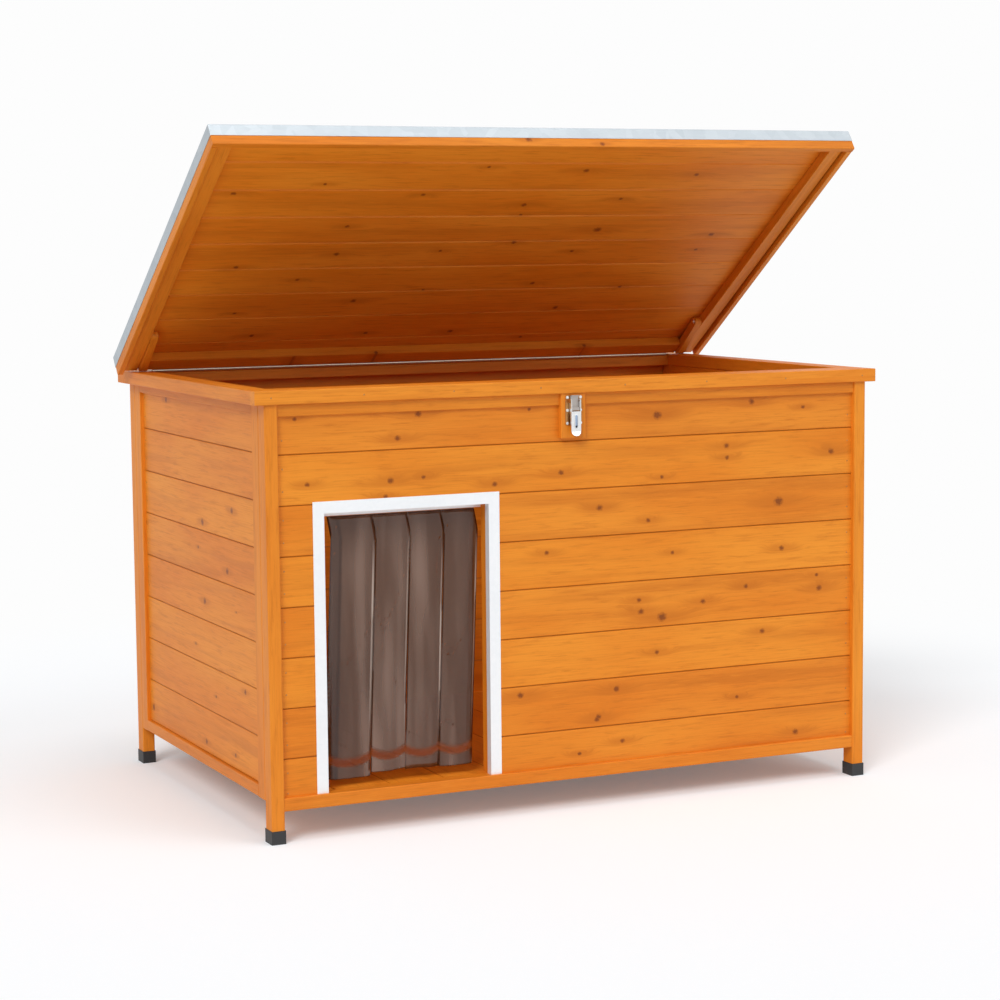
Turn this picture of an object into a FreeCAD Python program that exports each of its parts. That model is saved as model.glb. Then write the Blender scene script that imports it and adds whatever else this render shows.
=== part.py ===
import FreeCAD, Part
import math
import os

import Sketcher

# Timber dog house with a hinged, sheet-covered lid, a framed doorway with a strip curtain,
# folding lid stays and a toggle latch. Millimetres. +Z is up, the front faces -Y and +X is
# to the right. The origin is on the floor, under the middle of the house. The lid stands open.

DIMENSIONS = [
    # the frame: posts, rails and stiles
    ("half_width", 550, "half the width over the posts"),
    ("half_depth", 356, "half the depth over the posts"),
    ("post_width", 22, "post along X"),
    ("post_depth", 30, "post along Y"),
    ("post_round", 2.5, "rounding of a post's long edges"),
    ("frame_top", 692, "height of the top of the posts"),
    ("edge_ease", 1, "small bevel on sawn timber"),
    ("front_rail_low", 51, "underside of the front and rear bottom rails"),
    ("front_rail_height", 21, "front and rear bottom rails"),
    ("front_rail_setback", 2, "front bottom rail behind the post's face"),
    ("front_rail_depth", 26, "front and rear rails along Y"),
    ("front_head_height", 19, "front and rear top rails"),
    ("front_head_setback", 3.5, "front top rail behind the post's face"),
    ("side_rail_low", 66, "underside of the side bottom rails"),
    ("side_rail_height", 19, "side bottom rails"),
    ("side_head_height", 15, "side top rails"),
    ("stile_width", 31, "side stile along Y"),
    # the feet
    ("cap_wall", 1, "wall of a foot cap"),
    ("cap_floor", 2, "thickness under the post"),
    ("cap_height", 21.5, "foot cap"),
    ("cap_fit", 0.1, "clearance between cap and post"),
    # the boards
    ("board_thickness", 12, "tongued board"),
    ("tongue_length", 5, "tongue along the board's width"),
    ("tongue_thickness", 4, "tongue through the board"),
    ("tongue_fit", 0.3, "clearance round a tongue"),
    ("board_bevel", 1.6, "bevel at each visible joint"),
    ("front_board_pitch", 80, "cover of a front or rear board"),
    ("front_board_start", 53, "lower edge of the first front board before it is cut"),
    ("front_board_setback", 9, "front boards behind the post's face"),
    ("side_board_pitch", 75.5, "cover of a side board"),
    ("side_board_setback", 6.5, "side boards behind the post's face"),
    ("corner_batten_width", 20, "inner corner batten along X"),
    ("corner_batten_depth", 15, "inner corner batten along Y"),
    # the floor
    ("floor_thickness", 10, "floor board"),
    ("floor_board_pitch", 95, "cover of a floor board"),
    ("bearer_width", 20, "bearer under the floor"),
    ("bearer_inset", 60, "bearer's end to the side of the floor"),
    ("floor_gap", 0.5, "play round the floor"),
    # the rim round the top
    ("rim_height", 22, "rim battens"),
    ("rim_thickness", 21, "rim batten across"),
    ("rim_side_proud", 17, "side rim beyond the post's face"),
    ("rim_front_proud", 5, "front rim beyond the post's face"),
    ("rim_rear_proud", 14, "hinge board beyond the rear posts"),
    ("hinge_board_width", 66.5, "hinge board along Y"),
    ("ledge_side_width", 19, "inner ledge at the sides"),
    ("ledge_front_width", 40, "inner ledge at the front"),
    # the doorway
    ("door_margin", 75.8, "left post to the wooden opening"),
    ("door_width", 286.9, "wooden opening"),
    ("door_height", 447.2, "wooden opening above the threshold"),
    ("jamb_width", 25, "jamb behind the boards, along X"),
    ("jamb_depth", 21, "jamb along Y"),
    ("jamb_rise", 40.8, "jambs above the opening"),
    ("head_height", 26, "door head between the jambs"),
    ("trim_width", 19, "face of the steel door trim"),
    ("trim_sheet", 1, "thickness of the trim"),
    ("trim_return", 14, "trim folded into the opening"),
    ("trim_fit", 0.2, "trim clear of the wooden edge"),
    # the curtain
    ("clamp_thickness", 4, "clamp bar of the curtain"),
    ("clamp_height", 36, "clamp bar of the curtain"),
    ("clamp_drop", 9.7, "clamp bar below the wooden edge over the opening"),
    ("strip_pitch", 60, "one curtain strip"),
    ("strip_gap", 0.8, "between two strips"),
    ("strip_thickness", 2, "curtain strip"),
    ("strip_edge", 0.4, "bevel along a strip's long edges"),
    ("strip_seat", 0.3, "turning strip clear of its clamp bar"),
    ("strip_hold", 0.6, "strip above the line that it turns on"),
    ("strip_side_gap", 11, "last strip to the right edge of the opening"),
    ("strip_floor_gap", 16, "mean lower end of the strips above the threshold"),
    ("strip_spread", 3, "how far the lower ends differ"),
    # the lid
    ("lid_side_overhang", 24, "lid beyond the side rims"),
    ("lid_front_overhang", 14, "closed lid beyond the front rim"),
    ("lid_open_angle", 35, "degrees from closed"),
    ("lid_rest", 0.3, "closed lid above the rim"),
    ("lid_batten_thickness", 17, "lid battens and rear rail"),
    ("lid_batten_width", 25, "lid side battens"),
    ("lid_batten_gap", 2.7, "side batten to the lid's side rail"),
    ("lid_board_thickness", 12, "lid boards"),
    ("lid_board_pitch", 76, "cover of a lid board"),
    ("lid_board_start", 62, "hinge axis to the first joint of the lid boards"),
    ("lid_rail_thickness", 10.5, "lid rails at the front and sides"),
    ("lid_rail_height", 37, "lid rails at the front and sides"),
    ("lid_rear_rail_width", 31, "rail along the hinge"),
    ("cover_sheet", 0.8, "lid cover"),
    ("cover_skirt", 21.5, "folded edge of the cover"),
    ("cover_bend", 1.2, "outer bend of the cover"),
    # the piano hinge
    ("hinge_sheet", 1, "leaf"),
    ("knuckle_radius", 3, "knuckle outside"),
    ("pin_radius", 1.5, "hinge pin"),
    ("pin_fit", 0.05, "radial clearance on the pin"),
    ("knuckle_length", 94.4, "one knuckle"),
    ("knuckle_gap", 0.6, "between two knuckles"),
    ("knuckle_clear", 0.5, "timber and leaf clear of the knuckles"),
    ("hinge_end_gap", 2, "hinge shorter than the mouth at each end"),
    ("fixed_leaf_width", 25, "leaf on the hinge board, from the axis"),
    ("lid_leaf_height", 16, "leaf on the rear rail, from the axis"),
    ("lid_leaf_stand", 0.25, "lid leaf in front of the knuckles"),
    # the lid stays
    ("stay_pivot_out", 102, "hinge axis to the stay's pivot, along the lid"),
    ("stay_thickness", 13, "stay along X"),
    ("stay_width", 16, "stay across"),
    ("stay_tilt", 5.25, "degrees between stay and lid when open"),
    ("stay_side_gap", 0.5, "stay clear of its block"),
    ("stay_foot_gap", 0.4, "foot above the rim"),
    ("stay_block_end", 228, "hinge axis to the end of the stay block"),
    ("stay_screw_radius", 2, "pivot screw shank"),
    ("stay_screw_head", 4, "pivot screw head radius"),
    ("stay_screw_head_height", 2, "pivot screw head"),
    ("stay_screw_bite", 14, "pivot screw in the block"),
    # the latch
    ("latch_x", -17, "middle of the latch"),
    ("latch_block_width", 45, "wooden block"),
    ("latch_block_thickness", 11, "wooden block"),
    ("latch_block_height", 73, "wooden block, up to the rim"),
    ("plate_width", 30, "latch base plate"),
    ("plate_sheet", 1.2, "latch sheet metal"),
    ("plate_height", 49, "latch base plate"),
    ("plate_drop", 3, "base plate below the rim"),
    ("latch_pivot_drop", 12, "lever pivot below the rim"),
    ("plate_round", 3, "corners of the base plate"),
    ("lever_round", 8, "lower corners of the lever"),
    ("latch_pivot_out", 4.6, "lever pivot in front of the plate"),
    ("latch_throw", 13, "lever pivot to claw pivot"),
    ("latch_pin_radius", 1.4, "latch rivets"),
    ("latch_pin_fit", 0.08, "radial clearance in the latch"),
    ("latch_ear_gap", 0.4, "between the latch's cheeks"),
    ("lever_width", 17.5, "lever over its cheeks"),
    ("lever_length", 57.3, "lever pivot to the lever's lower end"),
    ("lever_front", 4.2, "lever's face in front of its pivot"),
    ("lever_lip", 2, "finger lip turned outward"),
    ("lever_lip_height", 7, "finger lip"),
    ("claw_length", 22, "claw's rivet to its upper end"),
    ("claw_lip", 3.4, "claw's lip turned forward"),
    ("screw_inset", 3.4, "outer screws to the edge of the base plate"),
    ("latch_screw_radius", 2.4, "screw head"),
    ("latch_screw_head", 1.1, "screw head height"),
    ("latch_screw_spread", 12, "screws from the latch's middle"),
]

ROOT = "Sizes"
MARGIN = 20  # how far a cutting tool stands beyond what it cuts

doc = FreeCAD.newDocument("dog_house")


class Size:
    """A length or angle that keeps its number and the sheet expression that it comes from."""

    def __init__(self, number, text):
        self.number = float(number)
        self.text = text

    @staticmethod
    def of(value):
        if isinstance(value, Size):
            return value
        return Size(value, "(%s)" % repr(float(value)))

    def joined(self, other, sign, number):
        return Size(number, "(%s %s %s)" % (self.text, sign, Size.of(other).text))

    def __add__(self, other):
        return self.joined(other, "+", self.number + Size.of(other).number)

    def __sub__(self, other):
        return self.joined(other, "-", self.number - Size.of(other).number)

    def __mul__(self, other):
        return self.joined(other, "*", self.number * Size.of(other).number)

    def __truediv__(self, other):
        return self.joined(other, "/", self.number / Size.of(other).number)

    def __neg__(self):
        return Size(-self.number, "(0 - %s)" % self.text)

    def __radd__(self, other):
        return Size.of(other) + self

    def __rsub__(self, other):
        return Size.of(other) - self

    def __rmul__(self, other):
        return Size.of(other) * self


def sine(angle):
    return Size(math.sin(math.radians(angle.number)), "sin(%s)" % angle.text)


def cosine(angle):
    return Size(math.cos(math.radians(angle.number)), "cos(%s)" % angle.text)


def floor_of(size):
    return Size(math.floor(size.number), "floor(%s)" % size.text)


def ceiling_of(size):
    return Size(math.ceil(size.number), "ceil(%s)" % size.text)


class Sizes:
    """The spreadsheet of driving dimensions, read by name."""

    def __init__(self, rows):
        self.sheet = doc.addObject("Spreadsheet::Sheet", ROOT)
        for row, (alias, number, note) in enumerate(rows, start=1):
            self.sheet.set("A%d" % row, note)
            self.sheet.set("B%d" % row, str(number))
            self.sheet.setAlias("B%d" % row, alias)
        doc.recompute()

    def __getattr__(self, alias):
        return Size(self.sheet.get(alias), "%s.%s" % (ROOT, alias))


d = Sizes(DIMENSIONS)
parts = {}


def keep(label, shape_object):
    """Names a finished sub-part and lists it for export."""
    shape_object.Label = label
    parts[label] = shape_object
    return shape_object


class Frame:
    """Where a piece is built: the house itself, or the lid turned about its hinge."""

    def __init__(self, y, z, angle):
        self.y = Size.of(y)
        self.z = Size.of(z)
        self.angle = Size.of(angle)

    def place(self, thing, x, y, z):
        """Puts the thing's own origin at x, y, z of this frame, turned with it."""
        world_y = self.y + y * cosine(self.angle) - z * sine(self.angle)
        world_z = self.z + y * sine(self.angle) + z * cosine(self.angle)
        axis = FreeCAD.Vector(1, 0, 0)
        thing.Placement = FreeCAD.Placement(
            FreeCAD.Vector(x.number, world_y.number, world_z.number),
            FreeCAD.Rotation(axis, self.angle.number),
        )
        thing.setExpression("Placement.Base.x", x.text)
        thing.setExpression("Placement.Base.y", world_y.text)
        thing.setExpression("Placement.Base.z", world_z.text)
        if self.angle.number:
            thing.setExpression("Placement.Rotation.Angle", self.angle.text)


HOUSE = Frame(0, 0, 0)


# ---- sketches and features ------------------------------------------------------------------

# For each direction of extrusion: the origin plane, the two directions that are drawn in it,
# and whether a pad has to be reversed to run towards +.
PLANES = {
    "x": ("YZ_Plane", "yz", False),
    "y": ("XZ_Plane", "xz", True),
    "z": ("XY_Plane", "xy", False),
}
TOLERANCE = 0.01  # two measures that are this close are the same


def new_body(label):
    body = doc.addObject("PartDesign::Body", label + "_body")
    body.AllowCompound = True
    return body


def new_sketch(body, run):
    plane_role = PLANES[run][0]
    plane = [item for item in body.Origin.OriginFeatures if item.Role == plane_role][0]
    sketch = body.newObject("Sketcher::SketchObject", body.Name + "_sketch")
    sketch.AttachmentSupport = [(plane, "")]
    sketch.MapMode = "FlatFace"
    return sketch


def fix_point(sketch, geometry, point, across, up):
    """Ties one point of the sketch to its two coordinates."""
    for kind, value in (("DistanceX", across), ("DistanceY", up)):
        size = Size.of(value)
        index = sketch.addConstraint(Sketcher.Constraint(kind, -1, 1, geometry, point, size.number))
        sketch.setExpression("Constraints[%d]" % index, size.text)


def draw_outline(sketch, points):
    """Draws a closed outline of straight lines through the points."""
    first = sketch.GeometryCount
    corners = [FreeCAD.Vector(Size.of(a).number, Size.of(b).number, 0) for a, b in points]
    count = len(corners)
    for index in range(count):
        sketch.addGeometry(Part.LineSegment(corners[index], corners[(index + 1) % count]))
    for index in range(count):
        after = first + (index + 1) % count
        sketch.addConstraint(Sketcher.Constraint("Coincident", first + index, 2, after, 1))
    for index, (across, up) in enumerate(points):
        fix_point(sketch, first + index, 1, across, up)


def draw_circle(sketch, across, up, radius):
    """Draws a circle with its centre and radius tied to the sheet."""
    centre = FreeCAD.Vector(Size.of(across).number, Size.of(up).number, 0)
    normal = FreeCAD.Vector(0, 0, 1)
    index = sketch.addGeometry(Part.Circle(centre, normal, radius.number))
    fix_point(sketch, index, 3, across, up)
    constraint = sketch.addConstraint(Sketcher.Constraint("Radius", index, radius.number))
    sketch.setExpression("Constraints[%d]" % constraint, radius.text)


def rectangle(width, height):
    return [(0, 0), (width, 0), (width, height), (0, height)]


def pad(body, sketch, run, length):
    feature = body.newObject("PartDesign::Pad", body.Name + "_pad")
    feature.Profile = sketch
    feature.Length = length.number
    feature.setExpression("Length", length.text)
    feature.Reversed = PLANES[run][2]
    sketch.Visibility = False
    return feature


def pocket_through(body, sketch):
    feature = body.newObject("PartDesign::Pocket", body.Name + "_pocket")
    feature.Profile = sketch
    feature.Type = "ThroughAll"
    feature.Midplane = True
    sketch.Visibility = False
    return feature


def long_edges(shape, run):
    """Names of the straight edges that run the whole length of an extruded piece."""
    whole = spans_of(shape)[run]
    names = []
    for number, edge in enumerate(shape.Edges, start=1):
        spans = spans_of(edge)
        runs_through = abs(spans[run] - whole) < TOLERANCE
        if runs_through and abs(sum(spans.values()) - whole) < TOLERANCE:
            names.append("Edge%d" % number)
    return names


def spans_of(shape):
    """How far a shape reaches along each axis."""
    bounds = shape.BoundBox
    return {"x": bounds.XLength, "y": bounds.YLength, "z": bounds.ZLength}


def soften(body, run, size, rounded=False):
    """Rounds or bevels the long edges of the body's last feature."""
    doc.recompute()
    base = body.Tip
    kind = "PartDesign::Fillet" if rounded else "PartDesign::Chamfer"
    feature = body.newObject(kind, body.Name + "_edges")
    feature.Base = (base, long_edges(base.Shape, run))
    name = "Radius" if rounded else "Size"
    setattr(feature, name, size.number)
    feature.setExpression(name, size.text)
    return feature


def span(low, high):
    return Size.of(low), Size.of(high)


def mirrored(sign, low, high):
    """The span on the right for sign 1, or the same span on the left for sign -1."""
    if sign > 0:
        return span(low, high)
    return span(-Size.of(high), -Size.of(low))


def bar(label, x, y, z, run, frame=HOUSE, edge=None, rounded=False):
    """A straight piece of timber or strip between two limits along each axis."""
    limits = {"x": span(*x), "y": span(*y), "z": span(*z)}
    extents = {axis: high - low for axis, (low, high) in limits.items()}
    body = new_body(label)
    sketch = new_sketch(body, run)
    across, up = PLANES[run][1]
    draw_outline(sketch, rectangle(extents[across], extents[up]))
    pad(body, sketch, run, extents[run])
    if edge is None:
        edge = d.edge_ease
    soften(body, run, edge, rounded)
    low_corner = [low for low, high in limits.values()]
    frame.place(body, *low_corner)
    return body


def box(label, x, y, z):
    """A plain block, used as a tool or as a limit."""
    block = doc.addObject("Part::Box", label + "_box")
    for name, (low, high) in (("Length", x), ("Width", y), ("Height", z)):
        size = Size.of(high) - Size.of(low)
        setattr(block, name, size.number)
        block.setExpression(name, size.text)
    HOUSE.place(block, Size.of(x[0]), Size.of(y[0]), Size.of(z[0]))
    return block


def rod(label, radius, length, x, y, z, frame=HOUSE):
    """A round bar along X."""
    body = new_body(label)
    sketch = new_sketch(body, "x")
    draw_circle(sketch, 0, 0, radius)
    pad(body, sketch, "x", length)
    frame.place(body, Size.of(x), Size.of(y), Size.of(z))
    return body


def group(label, members):
    """Several equal pieces under one name, as separate solids."""
    compound = doc.addObject("Part::Compound", label)
    compound.Links = members
    return keep(label, compound)


# ---- tongued boards -------------------------------------------------------------------------


def board_outline(start, pitch, face, inward, thickness):
    """Section of one tongued board as pairs of (along the wall, through the wall).

    start is the board's grooved edge, face the bevelled side and inward +1 or -1 the side on
    which the board's body lies.
    """
    middle = thickness / 2
    tongue_low = middle - d.tongue_thickness / 2
    tongue_high = middle + d.tongue_thickness / 2
    top = pitch - d.tongue_fit
    tip = top + d.tongue_length - 2 * d.tongue_fit
    section = [
        (Size.of(0), d.board_bevel),
        (Size.of(0), tongue_low - d.tongue_fit),
        (d.tongue_length, tongue_low - d.tongue_fit),
        (d.tongue_length, tongue_high + d.tongue_fit),
        (Size.of(0), tongue_high + d.tongue_fit),
        (Size.of(0), thickness),
        (top, thickness),
        (top, tongue_high),
        (tip, tongue_high),
        (tip, tongue_low),
        (top, tongue_low),
        (top, d.board_bevel),
        (top - d.board_bevel, Size.of(0)),
        (d.board_bevel, Size.of(0)),
    ]
    return [(start + along, face + inward * through) for along, through in section]


def boards(label, run, length, start, pitch, count, face, inward, thickness, upright=True):
    """A row of tongued boards side by side, each a solid of its own, from x or y = 0.

    upright puts the row along the sketch's second axis, as in a wall. Otherwise the row lies
    along the first axis, as in a floor.
    """
    body = new_body(label)
    sketch = new_sketch(body, run)
    outline = board_outline(start, pitch, face, inward, thickness)
    if upright:
        outline = [(through, along) for along, through in outline]
    draw_outline(sketch, outline)
    feature = pad(body, sketch, run, length)
    doc.recompute()
    row = body.newObject("PartDesign::LinearPattern", label + "_row")
    row.Originals = [feature]
    row.Direction = (sketch, ["V_Axis" if upright else "H_Axis"])
    row.Mode = "Spacing"
    row.Offset = pitch.number
    row.setExpression("Offset", pitch.text)
    row.Occurrences = int(count.number)
    row.setExpression("Occurrences", count.text)
    body.Tip = row
    return body


def common(label, base, tool):
    piece = doc.addObject("Part::Common", label)
    piece.Base = base
    piece.Tool = tool
    return piece


def cut(label, base, tool):
    piece = doc.addObject("Part::Cut", label)
    piece.Base = base
    piece.Tool = tool
    return piece


# ---- places that several pieces share -------------------------------------------------------

inner_x = d.half_width - d.post_width
inner_y = d.half_depth - d.post_depth
stile_y = inner_y - d.stile_width
post_foot = d.cap_floor
rim_top = d.frame_top + d.rim_height
rim_x = d.half_width + d.rim_side_proud
rim_front_y = -d.half_depth - d.rim_front_proud
threshold_z = d.front_rail_low + d.front_rail_height
side_rail_top = d.side_rail_low + d.side_rail_height
mouth_x = rim_x - d.rim_thickness - d.ledge_side_width
board_face_y = d.half_depth - d.front_board_setback
board_back_y = board_face_y - d.board_thickness
board_face_x = d.half_width - d.side_board_setback
jamb_back_y = -board_back_y + d.jamb_depth
door_left = d.door_margin - inner_x
door_right = door_left + d.door_width
door_top = threshold_z + d.door_height
hinge_board_back = d.half_depth + d.rim_rear_proud
hinge_board_front = hinge_board_back - d.hinge_board_width
hinge_y = hinge_board_front - d.knuckle_radius - d.knuckle_clear
hinge_z = rim_top + d.hinge_sheet / 2
hinge_half_length = mouth_x - d.hinge_end_gap
knuckle_step = d.knuckle_length + d.knuckle_gap
knuckle_slots = floor_of(2 * hinge_half_length / knuckle_step)

CORNERS = [
    ("front_left", -1, -1),
    ("front_right", 1, -1),
    ("rear_left", -1, 1),
    ("rear_right", 1, 1),
]
SIDES = [("left", -1), ("right", 1)]
STRIP_ENDS = (-1.0, 1.0, 0.6, 0.0)  # each strip's lower end, as a share of how far they differ


def make_foot_caps():
    """Moulded cups that the posts stand in."""
    outer_x = d.post_width + 2 * d.cap_wall
    outer_y = d.post_depth + 2 * d.cap_wall
    for corner, side, end in CORNERS:
        x = mirrored(side, inner_x - d.cap_wall, d.half_width + d.cap_wall)
        y = mirrored(end, inner_y - d.cap_wall, d.half_depth + d.cap_wall)
        body = new_body("foot_cap_" + corner)
        sketch = new_sketch(body, "z")
        draw_outline(sketch, rectangle(outer_x, outer_y))
        pad(body, sketch, "z", d.cap_height)
        soften(body, "z", d.edge_ease, rounded=True)
        hollow = new_sketch(body, "z")
        hollow.AttachmentOffset.Base.z = d.cap_floor.number
        hollow.setExpression("AttachmentOffset.Base.z", d.cap_floor.text)
        rim = d.cap_wall - d.cap_fit
        draw_outline(
            hollow,
            [
                (rim, rim),
                (outer_x - rim, rim),
                (outer_x - rim, outer_y - rim),
                (rim, outer_y - rim),
            ],
        )
        feature = body.newObject("PartDesign::Pocket", body.Name + "_socket")
        feature.Profile = hollow
        feature.Length = d.cap_height.number
        feature.setExpression("Length", d.cap_height.text)
        feature.Reversed = True
        HOUSE.place(body, x[0], y[0], Size.of(0))
        keep("foot_cap_" + corner, body)


def make_posts():
    for corner, side, end in CORNERS:
        x = mirrored(side, inner_x, d.half_width)
        y = mirrored(end, inner_y, d.half_depth)
        post = bar("post_" + corner, x, y, (post_foot, d.frame_top), "z", edge=d.post_round, rounded=True)
        keep("post_" + corner, post)


def make_frame_rails():
    """Bottom and top rails between the posts, and the stiles beside the posts at the sides."""
    for name, end in (("front", -1), ("rear", 1)):
        low_face = d.half_depth - d.front_rail_setback
        y = mirrored(end, low_face - d.front_rail_depth, low_face)
        z = (d.front_rail_low, threshold_z)
        keep(name + "_bottom_rail", bar(name + "_bottom_rail", (-inner_x, inner_x), y, z, "x"))
        high_face = d.half_depth - d.front_head_setback
        y = mirrored(end, high_face - d.front_rail_depth, high_face)
        z = (d.frame_top - d.front_head_height, d.frame_top)
        keep(name + "_top_rail", bar(name + "_top_rail", (-inner_x, inner_x), y, z, "x"))
    top_rails = []
    for name, side in SIDES:
        x = mirrored(side, inner_x, d.half_width)
        z = (d.side_rail_low, side_rail_top)
        keep(name + "_bottom_rail", bar(name + "_bottom_rail", x, (-stile_y, stile_y), z, "y"))
        z = (d.frame_top - d.side_head_height, d.frame_top)
        top_rails.append(bar(name + "_top_rail", x, (-stile_y, stile_y), z, "y"))
        z = (d.side_rail_low, d.frame_top)
        front = bar(name + "_front_stile", x, (-inner_y, -stile_y), z, "z")
        rear = bar(name + "_rear_stile", x, (stile_y, inner_y), z, "z")
        group(name + "_stiles", [front, rear])
    group("side_top_rails", top_rails)


def make_front_boards():
    """The front wall, in three rows round the doorway."""
    pitch = d.front_board_pitch
    start = d.front_board_start
    whole_below = floor_of((door_top - start) / pitch)
    over_start = start + pitch * whole_below
    top = d.frame_top - d.front_head_height
    y = (-board_face_y - MARGIN, -board_back_y + MARGIN)
    sides = (("left", -inner_x, door_left), ("right", door_right, inner_x))
    for name, low, high in sides:
        label = "front_boards_" + name
        row = boards(label, "x", high - low, start, pitch, whole_below, -board_face_y, 1, d.board_thickness)
        HOUSE.place(row, Size.of(low), Size.of(0), Size.of(0))
        above_rail = box(label, (low, high), y, (threshold_z, top))
        keep(label, common(label, row, above_rail))
    label = "front_boards_over_door"
    count = ceiling_of((top - over_start) / pitch)
    row = boards(label, "x", 2 * inner_x, over_start, pitch, count, -board_face_y, 1, d.board_thickness)
    HOUSE.place(row, -inner_x, Size.of(0), Size.of(0))
    below_head = box(label, (-inner_x, inner_x), y, (threshold_z, top))
    wall = common(label + "_wall", row, below_head)
    doorway = box("doorway", (door_left, door_right), y, (threshold_z, door_top))
    keep(label, cut(label, wall, doorway))


def make_rear_boards():
    pitch = d.front_board_pitch
    start = d.front_board_start
    top = d.frame_top - d.front_head_height
    count = ceiling_of((top - start) / pitch)
    label = "rear_boards"
    row = boards(label, "x", 2 * inner_x, start, pitch, count, board_face_y, -1, d.board_thickness)
    HOUSE.place(row, -inner_x, Size.of(0), Size.of(0))
    y = (board_back_y - MARGIN, board_face_y + MARGIN)
    limit = box(label, (-inner_x, inner_x), y, (threshold_z, top))
    keep(label, common(label, row, limit))


def make_side_boards():
    pitch = d.side_board_pitch
    start = side_rail_top
    top = d.frame_top - d.side_head_height
    count = ceiling_of((top - start) / pitch)
    for name, side in SIDES:
        label = name + "_boards"
        face = side * board_face_x
        row = boards(label, "y", 2 * stile_y, start, pitch, count, face, -side, d.board_thickness)
        HOUSE.place(row, Size.of(0), -stile_y, Size.of(0))
        x = mirrored(side, inner_x - MARGIN, d.half_width + MARGIN)
        limit = box(label, x, (-stile_y, stile_y), (start, top))
        keep(label, common(label, row, limit))


def make_corner_battens():
    """Upright battens inside the corners, to which the front and rear boards are nailed."""
    members = []
    for corner, side, end in CORNERS:
        x = mirrored(side, inner_x - d.corner_batten_width, inner_x)
        y = mirrored(end, board_back_y - d.corner_batten_depth, board_back_y)
        z = (threshold_z, d.frame_top - d.front_head_height)
        members.append(bar("corner_batten_" + corner, x, y, z, "z"))
    group("corner_battens", members)


def make_floor():
    """Tongued floor boards from front to rear on bearers, level with the threshold."""
    top = threshold_z
    low = top - d.floor_thickness
    half_x = inner_x - d.floor_gap
    rail_inner = d.half_depth - d.front_rail_setback - d.front_rail_depth
    half_y = rail_inner - d.floor_gap
    pitch = d.floor_board_pitch
    count = ceiling_of(2 * half_x / pitch)
    row = boards("floor_boards", "y", 2 * half_y, -half_x, pitch, count, top, -1,
                 d.floor_thickness, upright=False)
    HOUSE.place(row, Size.of(0), -half_y, Size.of(0))
    limit = box("floor_boards", (-half_x, half_x), (-half_y, half_y), (low, top))
    keep("floor_boards", common("floor_boards", row, limit))
    z = (d.front_rail_low + d.floor_gap, low)
    x = (d.bearer_inset - half_x, half_x - d.bearer_inset)
    front = bar("front_bearer", x, (-rail_inner, d.bearer_width - rail_inner), z, "x")
    middle = bar("middle_bearer", x, (-d.bearer_width / 2, d.bearer_width / 2), z, "x")
    rear = bar("rear_bearer", x, (rail_inner - d.bearer_width, rail_inner), z, "x")
    group("floor_bearers", [front, middle, rear])


def make_rim():
    """Battens round the mouth of the box, the ledge inside them and the board for the hinge."""
    z = (d.frame_top, rim_top)
    batten_back = rim_front_y + d.rim_thickness
    ledge_back = batten_back + d.ledge_front_width
    keep("rim_front", bar("rim_front", (-rim_x, rim_x), (rim_front_y, batten_back), z, "x"))
    ledge_x = rim_x - d.rim_thickness
    for name, side in SIDES:
        x = mirrored(side, ledge_x, rim_x)
        keep("rim_" + name, bar("rim_" + name, x, (batten_back, hinge_board_front), z, "y"))
    ledges = [bar("front_ledge", (-ledge_x, ledge_x), (batten_back, ledge_back), z, "x")]
    for name, side in SIDES:
        x = mirrored(side, mouth_x, ledge_x)
        ledges.append(bar(name + "_ledge", x, (ledge_back, hinge_board_front), z, "y"))
    group("rim_ledges", ledges)
    y = (hinge_board_front, hinge_board_back)
    keep("hinge_board", bar("hinge_board", (-rim_x, rim_x), y, z, "x"))


def make_door_frame():
    """Jambs and head behind the boards, round the doorway."""
    y = (-board_back_y, jamb_back_y)
    z = (threshold_z, door_top + d.jamb_rise)
    left = bar("left_jamb", (door_left - d.jamb_width, door_left), y, z, "z")
    right = bar("right_jamb", (door_right, door_right + d.jamb_width), y, z, "z")
    group("door_jambs", [left, right])
    z = (door_top, door_top + d.head_height)
    keep("door_head", bar("door_head", (door_left, door_right), y, z, "x"))


def make_door_trim():
    """Folded steel angles: a face strip on the boards and a return into the opening."""
    front = -board_face_y - d.trim_sheet
    back = -board_face_y + d.trim_return - d.trim_sheet
    low = threshold_z
    reveal = d.trim_fit + d.trim_sheet
    inner_left = door_left + reveal
    inner_right = door_right - reveal
    inner_top = door_top - reveal
    for name, inner, side in (("left", inner_left, -1), ("right", inner_right, 1)):
        label = "door_trim_" + name
        body = new_body(label)
        sketch = new_sketch(body, "z")
        outer = inner + side * d.trim_width
        skin = inner + side * d.trim_sheet
        face = [(inner, front), (outer, front), (outer, front + d.trim_sheet)]
        fold = [(skin, front + d.trim_sheet), (skin, back), (inner, back)]
        draw_outline(sketch, face + fold)
        pad(body, sketch, "z", inner_top - low)
        HOUSE.place(body, Size.of(0), Size.of(0), low)
        keep(label, body)
    body = new_body("door_trim_top")
    sketch = new_sketch(body, "x")
    outer = inner_top + d.trim_width
    skin = inner_top + d.trim_sheet
    face = [(front, inner_top), (front, outer), (front + d.trim_sheet, outer)]
    fold = [(front + d.trim_sheet, skin), (back, skin), (back, inner_top)]
    draw_outline(sketch, face + fold)
    pad(body, sketch, "x", inner_right - inner_left + 2 * d.trim_width)
    face_strip = box("trim_face", (inner_left - d.trim_width, inner_right + d.trim_width),
                     (front, front + d.trim_sheet), (inner_top, outer))
    opening = box("trim_opening", (inner_left, inner_right), (front, back), (inner_top, outer))
    HOUSE.place(body, inner_left - d.trim_width, Size.of(0), Size.of(0))
    allowed = doc.addObject("Part::MultiFuse", "door_trim_top_limit")
    allowed.Shapes = [face_strip, opening]
    keep("door_trim_top", common("door_trim_top", body, allowed))


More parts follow.
